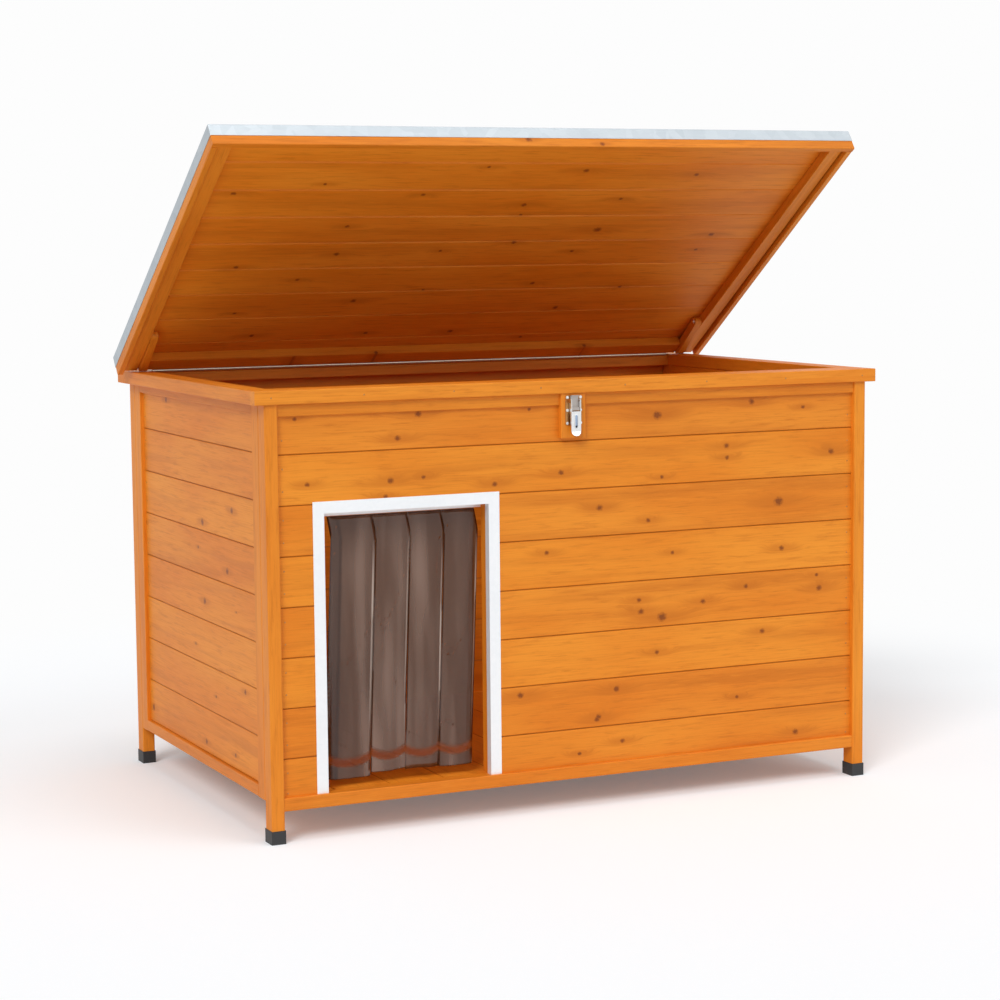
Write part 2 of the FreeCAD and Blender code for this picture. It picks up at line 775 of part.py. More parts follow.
def make_curtain():
    """Clear strips under a clamp bar behind the door head."""
    clamp_low = door_top - d.clamp_drop
    y = (jamb_back_y, jamb_back_y + d.clamp_thickness)
    z = (clamp_low, clamp_low + d.clamp_height)
    keep("curtain_clamp_bar", bar("curtain_clamp_bar", (door_left, door_right), y, z, "x"))
    top = clamp_low - d.strip_seat - d.strip_thickness / 2
    mean_low = threshold_z + d.strip_floor_gap
    half = d.strip_thickness / 2
    hang_y = jamb_back_y + d.clamp_thickness / 2
    for number, share in enumerate(STRIP_ENDS, start=1):
        left = door_right - d.strip_side_gap - (len(STRIP_ENDS) + 1 - number) * d.strip_pitch
        label = "curtain_strip_%d" % number
        x = (left, left + d.strip_pitch - d.strip_gap)
        y = (hang_y - half, hang_y + half)
        z = (mean_low + share * d.strip_spread, top + d.strip_hold)
        keep(label, bar(label, x, y, z, "z", edge=d.strip_edge))


# ---- the lid, drawn closed from the hinge axis: -Y runs forward and Z up --------------------

LID = Frame(hinge_y, hinge_z, -d.lid_open_angle)
lid_half_width = rim_x + d.lid_side_overhang
lid_front = hinge_y - rim_front_y + d.lid_front_overhang
lid_under = rim_top + d.lid_rest - hinge_z
lid_board_low = lid_under + d.lid_batten_thickness
lid_board_top = lid_board_low + d.lid_board_thickness
lid_top = lid_board_top + d.cover_sheet
rail_outer_x = lid_half_width - d.cover_sheet
rail_inner_x = rail_outer_x - d.lid_rail_thickness
rail_front_y = -lid_front + d.cover_sheet
rail_front_inner = rail_front_y + d.lid_rail_thickness
leaf_front_y = -d.knuckle_radius - d.lid_leaf_stand
rail_back_y = leaf_front_y
cover_rear_y = leaf_front_y + d.hinge_sheet + d.cover_sheet
batten_outer_x = rail_inner_x - d.lid_batten_gap
batten_inner_x = batten_outer_x - d.lid_batten_width
stay_outer_x = batten_inner_x - d.stay_side_gap
stay_inner_x = stay_outer_x - d.stay_thickness
rear_rail_x = stay_inner_x - 2 * d.stay_side_gap


def make_lid_timber():
    """Rails, battens and boards of the lid."""
    z = (lid_board_top - d.lid_rail_height, lid_board_top)
    y = (rail_front_y, rail_front_inner)
    keep("lid_rail_front", bar("lid_rail_front", (-rail_outer_x, rail_outer_x), y, z, "x", LID))
    for name, side in SIDES:
        x = mirrored(side, rail_inner_x, rail_outer_x)
        label = "lid_rail_" + name
        keep(label, bar(label, x, (rail_front_inner, rail_back_y), z, "y", LID))
    z = (lid_under, lid_board_low)
    rail_front = rail_back_y - d.lid_rear_rail_width
    y = (rail_front, rail_back_y)
    keep("lid_rail_rear", bar("lid_rail_rear", (-rear_rail_x, rear_rail_x), y, z, "x", LID))
    battens = []
    blocks = []
    for name, side in SIDES:
        x = mirrored(side, batten_inner_x, batten_outer_x)
        batten_y = (rail_front_inner, -d.stay_block_end)
        battens.append(bar("lid_batten_" + name, x, batten_y, z, "y", LID))
        blocks.append(make_stay_block(name, side, x, (-d.stay_block_end, rail_back_y), z))
    group("lid_battens", battens)
    group("lid_stay_blocks", blocks)
    make_lid_boards()


def make_stay_block(name, side, x, y, z):
    """Short block behind a side batten, bored for the stay's pivot screw."""
    body = bar("lid_stay_block_" + name, x, y, z, "y", LID)
    hole = new_sketch(body, "x")
    draw_circle(hole, stay_pivot_y - y[0], stay_pivot_z - z[0], d.stay_screw_radius)
    feature = body.newObject("PartDesign::Pocket", body.Name + "_hole")
    feature.Profile = hole
    if side > 0:
        feature.Length = d.stay_screw_bite.number
        feature.setExpression("Length", d.stay_screw_bite.text)
        feature.Reversed = True
    else:
        depth = d.lid_batten_width - d.stay_screw_bite
        hole.AttachmentOffset.Base.z = depth.number
        hole.setExpression("AttachmentOffset.Base.z", depth.text)
        feature.Length = d.lid_batten_width.number
        feature.setExpression("Length", d.lid_batten_width.text)
        feature.Reversed = True
    return body


def make_lid_boards():
    """Tongued boards across the lid, with their bevelled joints on the underside."""
    pitch = d.lid_board_pitch
    rear_start = -d.lid_board_start
    ahead = ceiling_of((rear_start - rail_front_inner) / pitch)
    start = rear_start - pitch * ahead
    count = ahead + ceiling_of(d.lid_board_start / pitch)
    body = new_body("lid_boards")
    sketch = new_sketch(body, "x")
    draw_outline(sketch, board_outline(start, pitch, lid_board_low, 1, d.lid_board_thickness))
    feature = pad(body, sketch, "x", 2 * rail_inner_x)
    doc.recompute()
    row = body.newObject("PartDesign::LinearPattern", "lid_boards_row")
    row.Originals = [feature]
    row.Direction = (sketch, ["H_Axis"])
    row.Mode = "Spacing"
    row.Offset = pitch.number
    row.setExpression("Offset", pitch.text)
    row.Occurrences = int(count.number)
    row.setExpression("Occurrences", count.text)
    body.Tip = row
    ends = new_sketch(body, "x")
    before = (start - MARGIN, rail_front_inner)
    behind = (rail_back_y, pitch + MARGIN)
    for low, high in (before, behind):
        draw_outline(
            ends,
            [
                (low, lid_board_low - MARGIN),
                (high, lid_board_low - MARGIN),
                (high, lid_board_top + MARGIN),
                (low, lid_board_top + MARGIN),
            ],
        )
    pocket_through(body, ends)
    LID.place(body, -rail_inner_x, Size.of(0), Size.of(0))
    keep("lid_boards", body)


def make_lid_cover():
    """Sheet folded down over the four edges of the lid."""
    depth = lid_front + cover_rear_y
    body = new_body("lid_cover")
    sketch = new_sketch(body, "z")
    draw_outline(sketch, rectangle(2 * lid_half_width, depth))
    pad(body, sketch, "z", d.cover_skirt)
    doc.recompute()
    block = body.Tip
    top = block.Shape.BoundBox.ZMax
    names = long_edges(block.Shape, "z")
    for number, edge in enumerate(block.Shape.Edges, start=1):
        if abs(edge.BoundBox.ZMin - top) < TOLERANCE:
            names.append("Edge%d" % number)
    bend = body.newObject("PartDesign::Fillet", "lid_cover_bend")
    bend.Base = (block, names)
    bend.Radius = d.cover_bend.number
    bend.setExpression("Radius", d.cover_bend.text)
    hollow = new_sketch(body, "z")
    gauge = d.cover_sheet
    draw_outline(
        hollow,
        [
            (gauge, gauge),
            (2 * lid_half_width - gauge, gauge),
            (2 * lid_half_width - gauge, depth - gauge),
            (gauge, depth - gauge),
        ],
    )
    feature = body.newObject("PartDesign::Pocket", "lid_cover_hollow")
    feature.Profile = hollow
    inside = d.cover_skirt - gauge
    feature.Length = inside.number
    feature.setExpression("Length", inside.text)
    feature.Reversed = True
    LID.place(body, -lid_half_width, -lid_front, lid_top - d.cover_skirt)
    keep("lid_cover", body)


# ---- the piano hinge ------------------------------------------------------------------------


def make_hinge_leaf(label, frame, plate, tab, first, count):
    """A leaf with every second knuckle: plate and tab are rectangles in the YZ section."""
    pitch = 2 * knuckle_step
    body = new_body(label)
    flat = new_sketch(body, "x")
    draw_outline(flat, plate)
    pad(body, flat, "x", 2 * hinge_half_length)
    barrel = new_sketch(body, "x")
    draw_circle(barrel, 0, 0, d.knuckle_radius)
    link = new_sketch(body, "x")
    draw_outline(link, tab)
    features = []
    for sketch in (barrel, link):
        sketch.AttachmentOffset.Base.z = first.number
        sketch.setExpression("AttachmentOffset.Base.z", first.text)
        features.append(pad(body, sketch, "x", d.knuckle_length))
    doc.recompute()
    row = body.newObject("PartDesign::LinearPattern", label + "_row")
    row.Originals = features
    row.Direction = (flat, ["N_Axis"])
    row.Mode = "Spacing"
    row.Offset = pitch.number
    row.setExpression("Offset", pitch.text)
    row.Occurrences = int(count.number)
    row.setExpression("Occurrences", count.text)
    body.Tip = row
    bore = new_sketch(body, "x")
    draw_circle(bore, 0, 0, d.pin_radius + d.pin_fit)
    pocket_through(body, bore)
    frame.place(body, -hinge_half_length, Size.of(0), Size.of(0))
    return keep(label, body)


def make_hinge():
    """Two leaves with interleaved knuckles on one pin."""
    gauge = d.hinge_sheet
    clear = d.knuckle_radius + d.knuckle_clear
    fixed = Frame(hinge_y, hinge_z, 0)
    plate = [
        (clear, -gauge / 2),
        (d.fixed_leaf_width, -gauge / 2),
        (d.fixed_leaf_width, gauge / 2),
        (clear, gauge / 2),
    ]
    tab = [(0, -gauge / 2), (clear, -gauge / 2), (clear, gauge / 2), (0, gauge / 2)]
    margin = d.knuckle_gap / 2
    make_hinge_leaf("hinge_leaf_fixed", fixed, plate, tab, margin, ceiling_of(knuckle_slots / 2))
    back = leaf_front_y + gauge
    plate = [
        (leaf_front_y, clear),
        (back, clear),
        (back, d.lid_leaf_height),
        (leaf_front_y, d.lid_leaf_height),
    ]
    tab = [(leaf_front_y, 0), (back, 0), (back, clear), (leaf_front_y, clear)]
    first = knuckle_step + margin
    make_hinge_leaf("hinge_leaf_lid", LID, plate, tab, first, floor_of(knuckle_slots / 2))
    pin = rod("hinge_pin", d.pin_radius, 2 * hinge_half_length, -hinge_half_length, hinge_y, hinge_z)
    keep("hinge_pin", pin)


# ---- the lid stays --------------------------------------------------------------------------

stay_pivot_y = -d.stay_pivot_out
stay_pivot_z = lid_under + d.lid_rest / 2 + d.stay_width / 2
stay_slope = d.lid_open_angle + d.stay_tilt
stay_drop = (
    d.stay_pivot_out * sine(d.lid_open_angle)
    + stay_pivot_z * cosine(d.lid_open_angle)
    + hinge_z
    - rim_top
    - d.stay_width / 2
    - d.stay_foot_gap
)
stay_reach = stay_drop / sine(stay_slope)
STAY = Frame(
    hinge_y + stay_pivot_y * cosine(d.lid_open_angle) + stay_pivot_z * sine(d.lid_open_angle),
    hinge_z - stay_pivot_y * sine(d.lid_open_angle) + stay_pivot_z * cosine(d.lid_open_angle),
    -stay_slope,
)


def make_stays():
    """Round-ended wooden stays, each turning on a screw in its block and standing on the rim."""
    screws = []
    radius = d.stay_width / 2
    for name, side in SIDES:
        x = mirrored(side, stay_inner_x, stay_outer_x)
        label = "lid_stay_" + name
        body = new_body(label)
        sketch = new_sketch(body, "x")
        draw_slot(sketch, stay_reach, radius)
        pad(body, sketch, "x", d.stay_thickness)
        bore = new_sketch(body, "x")
        draw_circle(bore, 0, 0, d.stay_screw_radius + d.pin_fit)
        pocket_through(body, bore)
        STAY.place(body, x[0], Size.of(0), Size.of(0))
        keep(label, body)
        screws.append(make_stay_screw(name, side))
    group("stay_screws", screws)


def draw_slot(sketch, length, radius):
    """A strip with round ends from 0 to length along the sketch's first axis."""
    up = FreeCAD.Vector(0, 0, 1)
    r = radius.number
    end = length.number
    start_arc = Part.ArcOfCircle(
        Part.Circle(FreeCAD.Vector(0, 0, 0), up, r), math.radians(90), math.radians(270)
    )
    end_arc = Part.ArcOfCircle(
        Part.Circle(FreeCAD.Vector(end, 0, 0), up, r), math.radians(-90), math.radians(90)
    )
    lower = Part.LineSegment(FreeCAD.Vector(0, -r, 0), FreeCAD.Vector(end, -r, 0))
    upper = Part.LineSegment(FreeCAD.Vector(end, r, 0), FreeCAD.Vector(0, r, 0))
    for line in (start_arc, lower, end_arc, upper):
        sketch.addGeometry(line)
    joints = ((0, 2, 1, 1), (1, 2, 2, 1), (2, 2, 3, 1), (3, 2, 0, 1))
    for first, first_end, second, second_end in joints:
        sketch.addConstraint(Sketcher.Constraint("Tangent", first, first_end, second, second_end))
    sketch.addConstraint(Sketcher.Constraint("Coincident", 0, 3, -1, 1))
    sketch.addConstraint(Sketcher.Constraint("PointOnObject", 2, 3, -1))
    reach = sketch.addConstraint(Sketcher.Constraint("DistanceX", -1, 1, 2, 3, end))
    sketch.setExpression("Constraints[%d]" % reach, length.text)
    round_end = sketch.addConstraint(Sketcher.Constraint("Radius", 0, r))
    sketch.setExpression("Constraints[%d]" % round_end, radius.text)


def make_stay_screw(name, side):
    """Pan-head screw through a stay into its block, turned as one profile."""
    body = new_body("stay_screw_" + name)
    sketch = new_sketch(body, "y")
    tip = d.stay_thickness + d.stay_side_gap + d.stay_screw_bite
    head = d.stay_screw_head_height
    outline = [
        (-side * head, Size.of(0)),
        (side * tip, Size.of(0)),
        (side * tip, d.stay_screw_radius),
        (Size.of(0), d.stay_screw_radius),
        (Size.of(0), d.stay_screw_head),
        (-side * head / 2, d.stay_screw_head),
        (-side * head, d.stay_screw_head * 0.7),
    ]
    draw_outline(sketch, outline)
    feature = body.newObject("PartDesign::Revolution", body.Name + "_turn")
    feature.Profile = sketch
    feature.ReferenceAxis = (sketch, ["H_Axis"])
    feature.Angle = 360
    LID.place(body, side * stay_inner_x, stay_pivot_y, stay_pivot_z)
    return body


# ---- the toggle latch -----------------------------------------------------------------------

block_face_y = -board_face_y - d.latch_block_thickness
plate_face_y = block_face_y - d.plate_sheet
latch_pivot_y = plate_face_y - d.latch_pivot_out
cheek = d.plate_sheet
claw_half = d.lever_width / 2 - cheek - d.latch_ear_gap
ear_inner = d.lever_width / 2 + d.latch_ear_gap
latch_eye = d.lever_front - cheek
plate_high = d.frame_top - d.plate_drop
plate_low = plate_high - d.plate_height
latch_pivot_z = d.frame_top - d.latch_pivot_drop


def make_latch():
    """Wooden block, base plate with ears, lever with cheeks, claw and the plate's screws."""
    x = (d.latch_x - d.latch_block_width / 2, d.latch_x + d.latch_block_width / 2)
    top = d.frame_top - d.front_head_height
    block_top = d.frame_top
    z = (block_top - d.latch_block_height, block_top)
    block = bar("latch_block", x, (block_face_y, -board_face_y), z, "z")
    recess_y = (-d.half_depth + d.front_head_setback, -board_face_y + MARGIN)
    notch = box("latch_notch", (x[0] - MARGIN, x[1] + MARGIN), recess_y, (top, block_top + MARGIN))
    keep("latch_block", cut("latch_block", block, notch))
    make_latch_plate()
    make_latch_lever()
    make_latch_claw()
    make_latch_screws()


def make_latch_plate():
    """Base plate with two ears, each with a short rivet, so that the claw passes between them."""
    body = new_body("latch_plate")
    base = new_sketch(body, "y")
    half = d.plate_width / 2
    draw_outline(
        base,
        [
            (-half, plate_low),
            (half, plate_low),
            (half, plate_high),
            (-half, plate_high),
        ],
    )
    pad(body, base, "y", d.plate_sheet)
    round_corners(body, d.plate_round)
    ears = new_sketch(body, "y")
    reach = d.latch_pivot_out + d.latch_pin_radius * 2
    ears.AttachmentOffset.Base.z = reach.number
    ears.setExpression("AttachmentOffset.Base.z", reach.text)
    ear_low = latch_pivot_z - 2.4 * d.latch_pin_radius
    ear_high = latch_pivot_z + 2.4 * d.latch_pin_radius
    for side in (-1, 1):
        near = side * ear_inner
        far = side * (ear_inner + cheek)
        draw_outline(ears, [(near, ear_low), (far, ear_low), (far, ear_high), (near, ear_high)])
    pad(body, ears, "y", reach)
    rivet_inner = d.lever_width / 2 - cheek
    rivet_length = ear_inner + cheek - rivet_inner
    for start in (rivet_inner, -(ear_inner + cheek)):
        rivet = new_sketch(body, "x")
        rivet.AttachmentOffset.Base.z = start.number
        rivet.setExpression("AttachmentOffset.Base.z", start.text)
        draw_circle(rivet, -d.latch_pivot_out, latch_pivot_z, d.latch_pin_radius)
        pad(body, rivet, "x", rivet_length)
    HOUSE.place(body, d.latch_x, plate_face_y, Size.of(0))
    keep("latch_plate", body)


def round_corners(body, radius):
    """Rounds the edges that run from front to back."""
    doc.recompute()
    base = body.Tip
    names = []
    for number, edge in enumerate(base.Shape.Edges, start=1):
        spans = spans_of(edge)
        if max(spans["x"], spans["z"]) < TOLERANCE:
            names.append("Edge%d" % number)
    corner = body.newObject("PartDesign::Fillet", body.Name + "_corners")
    corner.Base = (base, names)
    corner.Radius = radius.number
    corner.setExpression("Radius", radius.text)


def round_foot(body, half, length, radius):
    """Cuts the two lower corners of the lever to a rounded end, in three facets each."""
    sketch = new_sketch(body, "y")
    for side in (-1, 1):
        outline = [(side * (half + MARGIN), -length - MARGIN)]
        outline.append((side * (half + MARGIN), radius - length))
        for angle in (0, 30, 60, 90):
            turn = Size.of(angle)
            across = half - radius + radius * cosine(turn)
            outline.append((side * across, radius - length - radius * sine(turn)))
        outline.append((side * (half - radius), -length - MARGIN))
        draw_outline(sketch, outline)
    pocket_through(body, sketch)


def make_latch_lever():
    """Channel-section lever, drawn from its pivot.

    The front plate ends below the claw's rivet, which leaves the claw room to swing out between
    the two cheeks.
    """
    body = new_body("latch_lever")
    half = d.lever_width / 2
    length = d.lever_length
    front = -d.lever_front
    eye = latch_eye
    side_view = new_sketch(body, "x")
    side_view.AttachmentOffset.Base.z = -half.number
    side_view.setExpression("AttachmentOffset.Base.z", (-half).text)
    foot = length - d.lever_lip_height
    outline = [
        (front, eye / 2),
        (front / 2, eye),
        (eye / 2, eye),
        (eye, eye / 2),
        (eye, -d.latch_throw - eye / 2),
        (eye / 2, -d.latch_throw - eye),
        (front + cheek, -foot),
        (front - d.lever_lip + cheek, -length),
        (front - d.lever_lip, -length),
        (front, -foot),
    ]
    draw_outline(side_view, outline)
    pad(body, side_view, "x", d.lever_width)
    hollow = new_sketch(body, "x")
    inner = half - cheek
    hollow.AttachmentOffset.Base.z = -inner.number
    hollow.setExpression("AttachmentOffset.Base.z", (-inner).text)
    draw_outline(
        hollow,
        [
            (front + cheek, -foot),
            (eye + MARGIN, -foot),
            (eye + MARGIN, eye + MARGIN),
            (front - MARGIN, eye + MARGIN),
            (front - MARGIN, front - d.latch_throw),
            (front + cheek, front - d.latch_throw),
        ],
    )
    feature = body.newObject("PartDesign::Pocket", "latch_lever_channel")
    feature.Profile = hollow
    width = 2 * inner
    feature.Length = width.number
    feature.setExpression("Length", width.text)
    feature.Reversed = True
    pin = new_sketch(body, "x")
    pin.AttachmentOffset.Base.z = -half.number
    pin.setExpression("AttachmentOffset.Base.z", (-half).text)
    draw_circle(pin, 0, -d.latch_throw, d.latch_pin_radius)
    pad(body, pin, "x", d.lever_width)
    round_foot(body, half, length, d.lever_round)
    bore = new_sketch(body, "x")
    draw_circle(bore, 0, 0, d.latch_pin_radius + d.latch_pin_fit)
    pocket_through(body, bore)
    HOUSE.place(body, d.latch_x, latch_pivot_y, latch_pivot_z)
    keep("latch_lever", body)


def make_latch_claw():
    """Strap from the lever's rivet up behind the lever's pivot, with a lip at its upper end."""
    body = new_body("latch_claw")
    start = -claw_half
    eye = latch_eye - d.latch_ear_gap
    pin_z = latch_pivot_z - d.latch_throw
    top = d.claw_length
    clear = d.latch_pin_radius + d.latch_pin_fit + d.latch_ear_gap
    side_view = new_sketch(body, "x")
    side_view.AttachmentOffset.Base.z = start.number
    side_view.setExpression("AttachmentOffset.Base.z", start.text)
    strap_back = clear + cheek
    outline = [
        (-eye, -eye),
        (strap_back, -eye),
        (strap_back, top - cheek),
        (strap_back, top),
        (clear - d.claw_lip, top),
        (clear - d.claw_lip, top - cheek),
        (clear, top - cheek),
        (clear, eye),
        (-eye, eye),
    ]
    draw_outline(side_view, outline)
    pad(body, side_view, "x", 2 * claw_half)
    bore = new_sketch(body, "x")
    draw_circle(bore, 0, 0, d.latch_pin_radius + d.latch_pin_fit)
    pocket_through(body, bore)
    HOUSE.place(body, d.latch_x, latch_pivot_y, pin_z)
    keep("latch_claw", body)


def make_latch_screws():
    """Six screw heads that hold the plate to its block."""
    members = []
    low = plate_low + d.screw_inset
    high = plate_high - d.screw_inset
    for level, z in (("low", low), ("middle", (low + high) / 2), ("high", high)):
        for name, side in SIDES:
            body = new_body("latch_screw_%s_%s" % (level, name))
            sketch = new_sketch(body, "y")
            draw_circle(sketch, 0, 0, d.latch_screw_radius)
            pad(body, sketch, "y", d.latch_screw_head)
            x = d.latch_x + side * d.latch_screw_spread
            HOUSE.place(body, x, plate_face_y - d.latch_screw_head, z)
            members.append(body)
    group("latch_screws", members)


# ---- build, check and write -----------------------------------------------------------------


def check_document():
    """Stops where an object failed or a sub-part has no sound solid."""
    for item in doc.Objects:
        if "Invalid" in item.State or "Error" in item.State:
            raise RuntimeError("%s: %s" % (item.Name, item.State))
    for label, item in parts.items():
        shape = item.Shape
        if shape.isNull() or not shape.isValid() or not shape.Solids:
            raise RuntimeError("%s has no valid solid" % label)
        if shape.Volume <= 0:
            raise RuntimeError("%s is inside out" % label)


def report_sizes():
    low = [math.inf] * 3
    high = [-math.inf] * 3
    for item in parts.values():
        bounds = item.Shape.BoundBox
        lows = (bounds.XMin, bounds.YMin, bounds.ZMin)
        highs = (bounds.XMax, bounds.YMax, bounds.ZMax)
        low = [min(a, b) for a, b in zip(low, lows)]
        high = [max(a, b) for a, b in zip(high, highs)]
    print("bounds", [round(v, 2) for v in low], [round(v, 2) for v in high])
    print("parts", len(parts))


def main():
    make_foot_caps()
    make_posts()
    make_frame_rails()
    make_front_boards()
    make_rear_boards()
    make_side_boards()
    make_corner_battens()
    make_floor()
    make_rim()
    make_door_frame()
    make_door_trim()
    make_curtain()
    make_lid_timber()
    make_lid_cover()
    make_hinge()
    make_stays()
    make_latch()
    doc.recompute()
    check_document()
    report_sizes()
    os.makedirs("parts", exist_ok=True)
    for label, item in parts.items():
        item.Shape.exportStep("parts/%s.step" % label)


main()
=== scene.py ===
"""Dresses the timber dog house: stained softwood, galvanised sheet, zinc fittings, soft strips."""

from __future__ import annotations

import logging
import math
import random
from dataclasses import dataclass, field
from enum import Enum

import bmesh
import bpy
from mathutils import Matrix, Vector

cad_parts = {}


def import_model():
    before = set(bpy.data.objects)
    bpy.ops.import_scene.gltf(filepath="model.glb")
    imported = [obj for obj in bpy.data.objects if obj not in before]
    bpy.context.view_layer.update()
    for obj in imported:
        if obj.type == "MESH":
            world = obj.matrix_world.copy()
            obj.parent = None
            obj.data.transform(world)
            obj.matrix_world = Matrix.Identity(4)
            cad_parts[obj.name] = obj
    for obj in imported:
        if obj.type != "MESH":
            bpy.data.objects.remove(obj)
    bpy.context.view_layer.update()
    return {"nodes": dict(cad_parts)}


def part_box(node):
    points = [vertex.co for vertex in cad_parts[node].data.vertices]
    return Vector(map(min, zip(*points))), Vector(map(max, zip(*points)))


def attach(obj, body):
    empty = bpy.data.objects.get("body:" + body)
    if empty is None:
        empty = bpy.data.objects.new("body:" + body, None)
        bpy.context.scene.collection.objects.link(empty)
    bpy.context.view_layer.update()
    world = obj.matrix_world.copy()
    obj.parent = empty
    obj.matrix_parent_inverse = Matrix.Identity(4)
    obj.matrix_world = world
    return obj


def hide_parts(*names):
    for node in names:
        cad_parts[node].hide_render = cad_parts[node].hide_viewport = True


LOG = logging.getLogger("dog_house")
MM = 0.001

# How the lid and its stays stand open in the photograph, and the line that the lid turns about.
LID_ANGLE = math.radians(35.0)
STAY_ANGLE = math.radians(40.25)
HINGE_LINE = Vector((0.0, 0.300, 0.7145))

FORWARD = Vector((0.0, -1.0, 0.0))
BACKWARD = Vector((0.0, 1.0, 0.0))
UPWARD = Vector((0.0, 0.0, 1.0))

Socket = bpy.types.NodeSocket
Node = bpy.types.Node
Value = Node | Socket | float | tuple
Layer = tuple[Value, float, str]
# Where something starts and is full, and the same with where it begins to fade and ends.
Span = tuple[float, float]
Limits = tuple[float, float, float, float]

# The property that says how a node works, for the nodes that have one.
WAYS = {
    "Math": "operation",
    "VectorMath": "operation",
    "Mix": "blend_type",
    "MapRange": "interpolation_type",
    "VectorRotate": "rotation_type",
    "TexWhiteNoise": "noise_dimensions",
    "UVMap": "uv_map",
}
# A Mix node's factor and two colours among its inputs, and its colour among its outputs.
COLOUR_INPUTS = (0, 6, 7)
COLOUR_OUTPUT = 2
# The last two inputs of a MapRange that falls from 1 to 0 over its span.
FALLING = (1.0, 0.0)
# Further off than any knot, in knot radii.
NOWHERE = 99.0


def linear(code: str, alpha: float = 1.0) -> tuple[float, float, float, float]:
    """Turns an sRGB hex colour into Blender's linear colour.

    Args:
        code: six hex digits, with or without a leading #.
        alpha: the fourth value.

    Returns:
        Red, green, blue and alpha.
    """
    values = []
    digits = code.lstrip("#")
    for start in (0, 2, 4):
        part = int(digits[start : start + 2], 16) / 255.0
        values.append(part / 12.92 if part <= 0.04045 else ((part + 0.055) / 1.055) ** 2.4)
    return (values[0], values[1], values[2], alpha)


# Knots of the front wall, as seen: across, height and radius in mm.
FRONT_KNOTS = (
    (-497, 668, 3.2), (-324, 631, 4.4), (-478, 565, 3.8), (-337, 564, 5.0), (-280, 567, 3.2),
    (-155, 549, 4.4), (-346, 539, 3.8), (-288, 668, 5.0), (-92, 668, 3.2), (-35, 562, 4.4),
    (-62, 431, 3.8), (-112, 199, 5.0), (-4, 91, 3.2), (29, 146, 4.4), (145, 649, 7.0),
    (327, 665, 5.0), (429, 652, 3.2), (278, 592, 4.4), (279, 572, 3.8), (486, 573, 5.0),
    (153, 545, 3.2), (381, 492, 7.5), (127, 474, 3.8), (36, 500, 5.0), (173, 417, 3.2),
    (387, 411, 4.4), (316, 350, 3.8), (463, 337, 5.0), (458, 360, 3.2), (232, 330, 4.4),
    (109, 341, 3.8), (113, 321, 5.0), (153, 309, 7.5), (349, 270, 4.4), (143, 250, 3.8),
    (66, 194, 5.0), (299, 160, 3.2), (32, 150, 4.4), (77, 105, 3.8), (416, 88, 5.0),
)

# Knots of the lid's underside: across, distance along the lid from its hinge and radius in mm.
LID_KNOTS = (
    (-355, -535, 3.2), (-506, -509, 4.4), (-169, -505, 3.8), (111, -574, 5.0), (-76, -583, 3.2),
    (332, -563, 4.4), (213, -492, 3.8), (31, -475, 5.0), (36, -446, 3.2), (206, -399, 7.0),
    (-278, -415, 3.8), (-272, -333, 5.0), (-79, -339, 3.2), (55, -362, 4.4), (182, -333, 3.8),
    (448, -381, 5.0), (438, -333, 3.2), (-444, -297, 4.4), (-321, -256, 3.8), (-194, -186, 5.0),
    (-69, -217, 3.2), (143, -232, 4.4), (331, -215, 3.8), (223, -149, 5.0), (-408, -154, 3.2),
    (-356, -80, 4.4), (-136, -79, 3.8), (34, -78, 5.0), (189, -51, 3.2), (445, -31, 4.4),
)


class Axis(Enum):
    """A direction of the house's own frame."""

    X = 0
    Y = 1
    Z = 2

    def unit(self) -> Vector:
        """Gives the direction as a vector one metre long."""
        return Vector([float(place == self.value) for place in range(3)])


# ---- node helpers ---------------------------------------------------------------------------


@dataclass
class Graph:
    """One material's node tree, with a single way to add a node."""

    tree: bpy.types.NodeTree

    def add(self, kind: str, *inputs: Value, **links: Value) -> Node:
        """Adds a node, chooses its way of working and fills or links its inputs.

        Args:
            kind: the node's type name without the ShaderNode prefix, and after a colon its way
                of working, such as Math:ADD.
            inputs: its first inputs in order, each a number, a colour, a socket or a node.
            links: inputs by name, with _ for a space.

        Returns:
            The new node.
        """
        name, _, way = kind.partition(":")
        node = self.tree.nodes.new("ShaderNode" + name)
        if name == "Mix":
            node.data_type = "RGBA"
        if way:
            setattr(node, WAYS[name], way)
        order = COLOUR_INPUTS if name == "Mix" else range(len(inputs))
        pairs = [(node.inputs[place], value) for place, value in zip(order, inputs)]
        pairs += [(node.inputs[key.replace("_", " ")], value) for key, value in links.items()]
        for target, value in pairs:
            if isinstance(value, Node):
                mixed = value.bl_idname == "ShaderNodeMix"
                value = value.outputs[COLOUR_OUTPUT if mixed else 0]
            if isinstance(value, Socket):
                self.tree.links.new(value, target)
            else:
                target.default_value = value
        return node

    def lay_over(self, colour: Value, layers: list[Layer]) -> Value:
        """Lays stains over a colour, one on another.

        Args:
            colour: what lies under them.
            layers: for each stain, where it lies from 0 to 1, its strength and its hex colour.

        Returns:
            The stained colour.
        """
        for mask, strength, code in layers:
            share = self.add("Math:MULTIPLY", mask, strength)
            colour = self.add("Mix:MIX", share, colour, linear(code))
        return colour


def new_graph(name: str) -> tuple[bpy.types.Material, Graph]:
    """Makes an empty material that uses nodes.

    Args:
        name: the material's name.

    Returns:
        The material and its node tree.
    """
    material = bpy.data.materials.new(name)
    material.use_nodes = True
    material.node_tree.nodes.clear()
    return material, Graph(material.node_tree)


def close_graph(graph: Graph, shader: Node) -> None:
    """Joins a shader to the material's output."""
    graph.add("OutputMaterial", Surface=shader)


def dress(obj: bpy.types.Object, material: bpy.types.Material) -> None:
    """Gives an object one material."""
    obj.data.materials.clear()
    obj.data.materials.append(material)


# ---- finishes -------------------------------------------------------------------------------


@dataclass(frozen=True)
class Courses:
    """A row of boards: how wide each one shows and where the first one starts, in metres."""

    cover: float
    start: float


